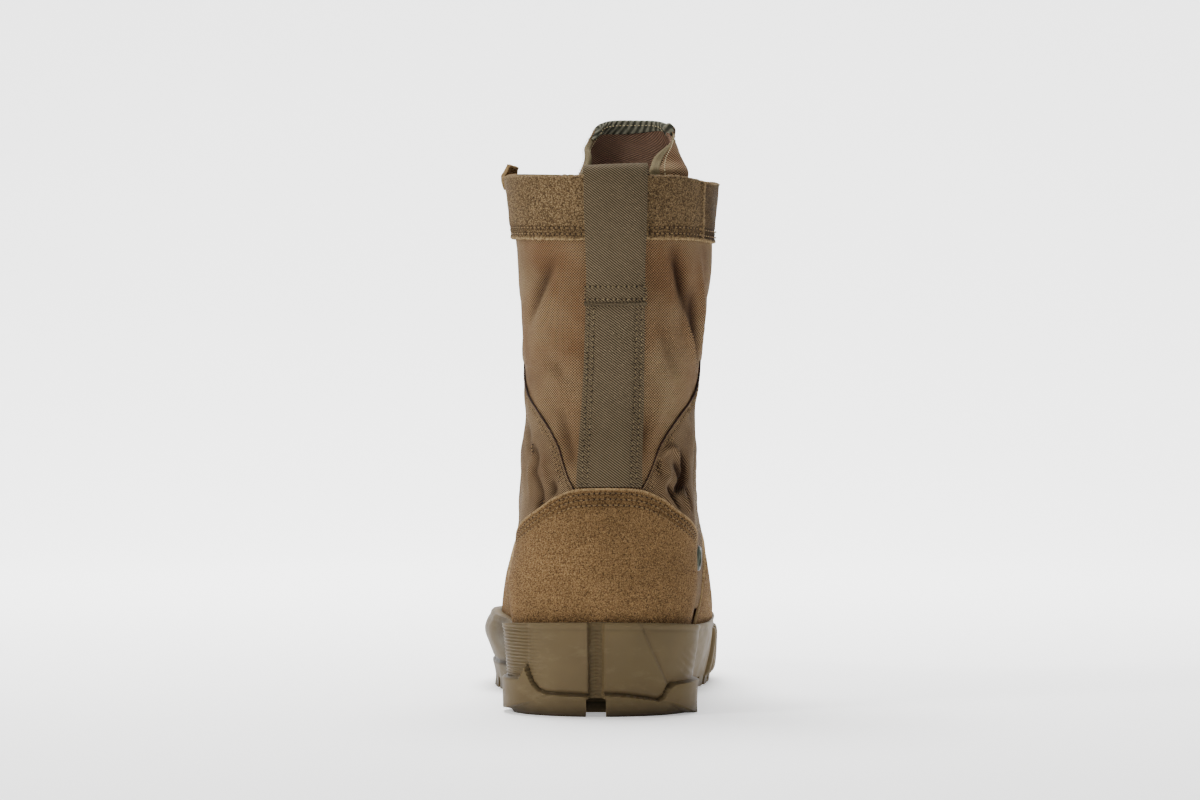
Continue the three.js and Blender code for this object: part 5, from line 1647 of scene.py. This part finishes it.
rim_r, hole_r = EYELET_WIDE / 2, EYELET_HOLE / 2
eyelet = spun_ring("eyelet", [(hole_r, -1.2), (hole_r, 0.7), (hole_r + 0.4, 1.25), (hole_r + 1.1, 1.4),
                              (rim_r - 0.7, 0.95), (rim_r, 0.3), (rim_r, 0.0), (hole_r + 0.6, 0.0)])
placed_copies("eyelets_metal", eyelet, [lacing_frame(i, side) for i in range(EYELETS) for side, _ in SIDES],
              metal_grey, ["eyelet_%s_%d" % (word, i + 1) for _, word in SIDES for i in range(EYELETS)])


# %% Hook: a strip bent back over itself
def hook_template():
    length, high, metal, wide = 11, 5.4, 1.1, 5.5
    side_view = [(-0.5, 0), (-0.2, 0), (0.15, 0), (0.42, 0.0), (0.53, 0.22), (0.56, 0.5), (0.52, 0.8),
                 (0.38, 0.96), (0.15, 0.98), (-0.1, 0.9)]
    def lay(u, v):
        line = spline(np.array(side_view), v * (len(side_view) - 1))
        half = wide / 2 * (1 - 0.25 * v**3)
        points = np.stack([line[..., 0] * length, (u - 0.5) * 2 * half, line[..., 1] * high + metal * 0.5], -1)
        return points, np.stack([u, v], -1), {}
    hook = laid_grid("hook", 8, 40, lay)
    apply_modifier(hook, "SOLIDIFY", thickness=metal * 0.85 * MM, offset=0)
    round_edges(hook, 0.25, 50)
    return hook


turned = Matrix.Rotation(math.pi, 4, "Z")
hook_places = [lacing_frame(i, side) @ (turned if side > 0 else Matrix.Identity(4))
               for side, _ in SIDES for i in range(EYELETS, PAIRS)]
placed_copies("hooks_metal", hook_template(), hook_places, metal_grey,
              ["hook_%s_%d" % (word, i + 1) for _, word in SIDES for i in range(PAIRS - EYELETS)])

# %% Drain vents: a rim and a screen
vent = spun_ring("vent", [(3.6, 0.0), (3.6, 0.6), (4.2, 1.5), (5.0, 1.6),
                          (5.7, 1.0), (6.0, 0.3), (6.0, 0.0), (4.6, 0.0)])
vent_places = [surface_frame(math.acos(1 - 2 * share), 3.7, 0.6) for share in (0.42, 0.51)]
placed_copies("drain_vent_rims", vent, vent_places, metal_green, ["drain_vent_1", "drain_vent_2"])


def screen_template(reach=3.9, wire=0.22):
    bars = []
    for k in range(-3, 4):
        across = k * 1.05
        half = math.sqrt(reach**2 - across**2)
        bars.append(tube("bar", [(-half, across, 0.5), (half, across, 0.5)], wire, 6))
        bars.append(tube("bar", [(across, -half, 0.62), (across, half, 0.62)], wire, 6))
    return joined("screen", bars)


placed_copies("drain_vent_screens", screen_template(), vent_places, metal_green)

# %% [markdown]
# ## Laces
# The lace is one round braid. It crosses over the tongue, dives through each eyelet and
# goes round each hook. The photo hides its ends, so it stops at the top hooks.


# %% Laces
LACE_RADIUS = 1.7


def eyelet_place(i, side, lift):
    return on_last(lacing_turn(i, side), pair_row(i), lift)


def lace_path(start, end, middle_row, rise):
    """From under one eyelet, over the tongue, down into the next one across."""
    over = on_last(math.pi - 0.001, middle_row, 3.4 + rise)
    ease_start, ease_end = (mix(top, over, 0.3) + [0, 1.2, 0.6] for _, top in (start, end))
    return spline(np.stack([*start, ease_start, over, ease_end, *end[::-1]]), np.linspace(0, 6, 30))


strands = []
for i in range(PAIRS - 1):
    for side in (-1, 1):
        low_start, low_end = (2.6 if i >= EYELETS else 2.2), (3.6 if i + 1 >= EYELETS else -1.4)
        start = (eyelet_place(i, side, low_start), eyelet_place(i, side, 4.6) + [0, 0, 2.0])
        end = (eyelet_place(i + 1, -side, low_end), eyelet_place(i + 1, -side, 5.0))
        path = lace_path(start, end, (pair_row(i) + pair_row(i + 1)) / 2, 2.0 if side > 0 else -0.8)
        strands.append(tube("lace_strand", path, LACE_RADIUS, 12))
bar_ends = [(eyelet_place(0, side, -1.4), eyelet_place(0, side, 4.6)) for side in (-1, 1)]
strands.append(tube("lace_strand", lace_path(*bar_ends, pair_row(0), 0.5), LACE_RADIUS, 12))
dress(joined("laces_braid", strands), cord_braid,
      ["lace_bar"] + ["lace_cross_%d" % (i + 1) for i in range(PAIRS - 1)], 80)

# %% [markdown]
# ## Stitches
# Every seam that shows is sewn with real little beads of thread, laid along the seam on
# the last and joined into one mesh for each thread.


# %% Rows beside an edge
def row_below(edge, gap):
    """A line that runs a gap in millimetres below an edge of (turn, row) places."""
    places = np.array(edge, float)
    fine = spline(places, np.linspace(0, len(places) - 1, 60))
    points = last_point(fine[:, 0], fine[:, 1])
    along = unit(np.gradient(points, axis=0))
    out = outward(fine[:, 0], fine[:, 1])
    down = np.cross(out, along)
    down *= np.where(down[:, 2:3] > 0, -1, 1)
    step = 0.02
    per_turn = last_point(fine[:, 0] + step, fine[:, 1]) - points
    per_row = last_point(fine[:, 0], fine[:, 1] + step) - points
    answer = []
    for d, a, b, place in zip(down * gap, per_turn / step, per_row / step, fine):
        answer.append(place + np.linalg.lstsq(np.stack([a, b], 1), d, rcond=None)[0])
    return np.array(answer)[::4]


def strip_line(rows, x):
    """(turn, row) places that far to the side of the back strip's middle."""
    return np.stack([turn_at_x(rows, strip_centre(rows) + x), rows], -1)


def sewn(word, places, thread):
    """A seam's stitches, and the dark beads of painted shadow in the needle holes that go with them."""
    joined_stitches("stitches_" + word, places, thread)
    joined_stitches("hole_shadows_" + word, hole_shadows(places), painted_hole_shadow)


STITCH_LIFT, TAB_LIFT = 1.55, 3.2
counter_line = [(-t, r) for t, r in COUNTER_EDGE[:0:-1]] + list(COUNTER_EDGE)
places = []
for gap in COUNTER_SEAMS:
    places += stitch_places(row_below(counter_line, gap), STITCH_LIFT, 2.3, 1.7, 0.62)
sewn("counter", places, thread_tan)

# %% Collar band, strip and tab
places = []
for height in BAND_SEAMS:
    row = row_at_back(COLLAR_Z - BAND_HIGH + height)
    start = float(throat_edge(row, -1, EYESTAY_WIDE + 3)[0])
    end = float(throat_edge(row, 1, EYESTAY_WIDE + 3)[0])
    places += stitch_places([(t, row) for t in np.linspace(start, end, 40)], STITCH_LIFT, 2.5, 1.8, 0.65)
seam_rows = np.linspace(BAND_ROW + 0.05, TOP_ROW - 0.1, 12)
places += stitch_places([(seam_turn(r) - 0.055, r) for r in seam_rows], 1.6, 2.2, 1.6, 0.6)
sewn("collar", places, thread_tan)

places = []
sewn_rows = np.linspace(*(row_at_back(z) for z in STRIP_SEWN), 40)
for x in [-STRIP_WIDE / 2 + seam for seam in STRIP_SEAMS] + [STRIP_WIDE / 2 - seam for seam in STRIP_SEAMS[::-1]]:
    places += stitch_places(strip_line(sewn_rows, x), STITCH_LIFT, 2.3, 1.7, 0.55, 0.18)
tab_half = TAB_WIDE / 2 - TAB_INSET
for z in TAB_SEAMS:
    line = strip_line(np.full(20, row_at_back(z)), np.linspace(-tab_half, tab_half, 20))
    places += stitch_places(line, TAB_LIFT, 2.1, 1.5, 0.75)
for x in (-tab_half, tab_half):
    line = strip_line(np.linspace(*(row_at_back(z) for z in TAB_SEAMS), 8), x)
    places += stitch_places(line, TAB_LIFT, 1.8, 1.3, 0.6)
sewn("webbing", places, thread_olive)

# %% Ankle panels, vamp and eyestays
places = []
for side in (-1, 1):
    line = [(side * t, r) for t, r in PANEL_EDGE]
    for gap, swing in ((1.5, 0.9), (2.7, -0.9), (3.9, 0.9)):
        places += stitch_places(row_below(line, gap), 0.8, 1.5, 1.3, 0.46, swing)
places += stitch_places([(-0.72, 6.6), (-0.62, 6.25), (-0.55, 5.93), (-0.53, 5.5)], -1.1, 1.5, 1.6, 0.62, 0.8)
places += stitch_places([(-0.8, 7.2), (-0.76, 6.8), (-0.79, 6.4), (-0.72, 5.8)], 0.6, 1.5, 1.6, 0.6, 0.8)
sewn("ankle", places, thread_tan)

places = []
for side in (-1, 1):
    rows = np.linspace(EYESTAY_ROW + 0.15, TOP_ROW - 0.1, 60)
    for beyond in (np.full(60, 2.8), eyestay_spread(rows) - 2.0):
        line = np.stack([throat_edge(rows, side, beyond), rows], -1)
        places += stitch_places(line, STITCH_LIFT, 2.5, 1.8, 0.62)
    rear = [(side * t, r) for r, t in VAMP_EDGE]
    for gap in VAMP_SEAMS:
        places += stitch_places([(t + side * gap / 50, r - 0.02) for t, r in rear], STITCH_LIFT, 2.5, 1.8, 0.62)
joined_stitches("stitches_front", places, thread_tan)

# %% [markdown]
# ## Sizes
# The dressed boot's box is measured against its frame's box, and the growth is printed.

# %% Sizes and end
visual_box = [list(corner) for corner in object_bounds()]
growth = [abs(b) - abs(a) for a, b in zip(sum(cad_box, []), sum(visual_box, []))]
print("growth in mm:", [round(g / MM, 2) for g in growth])
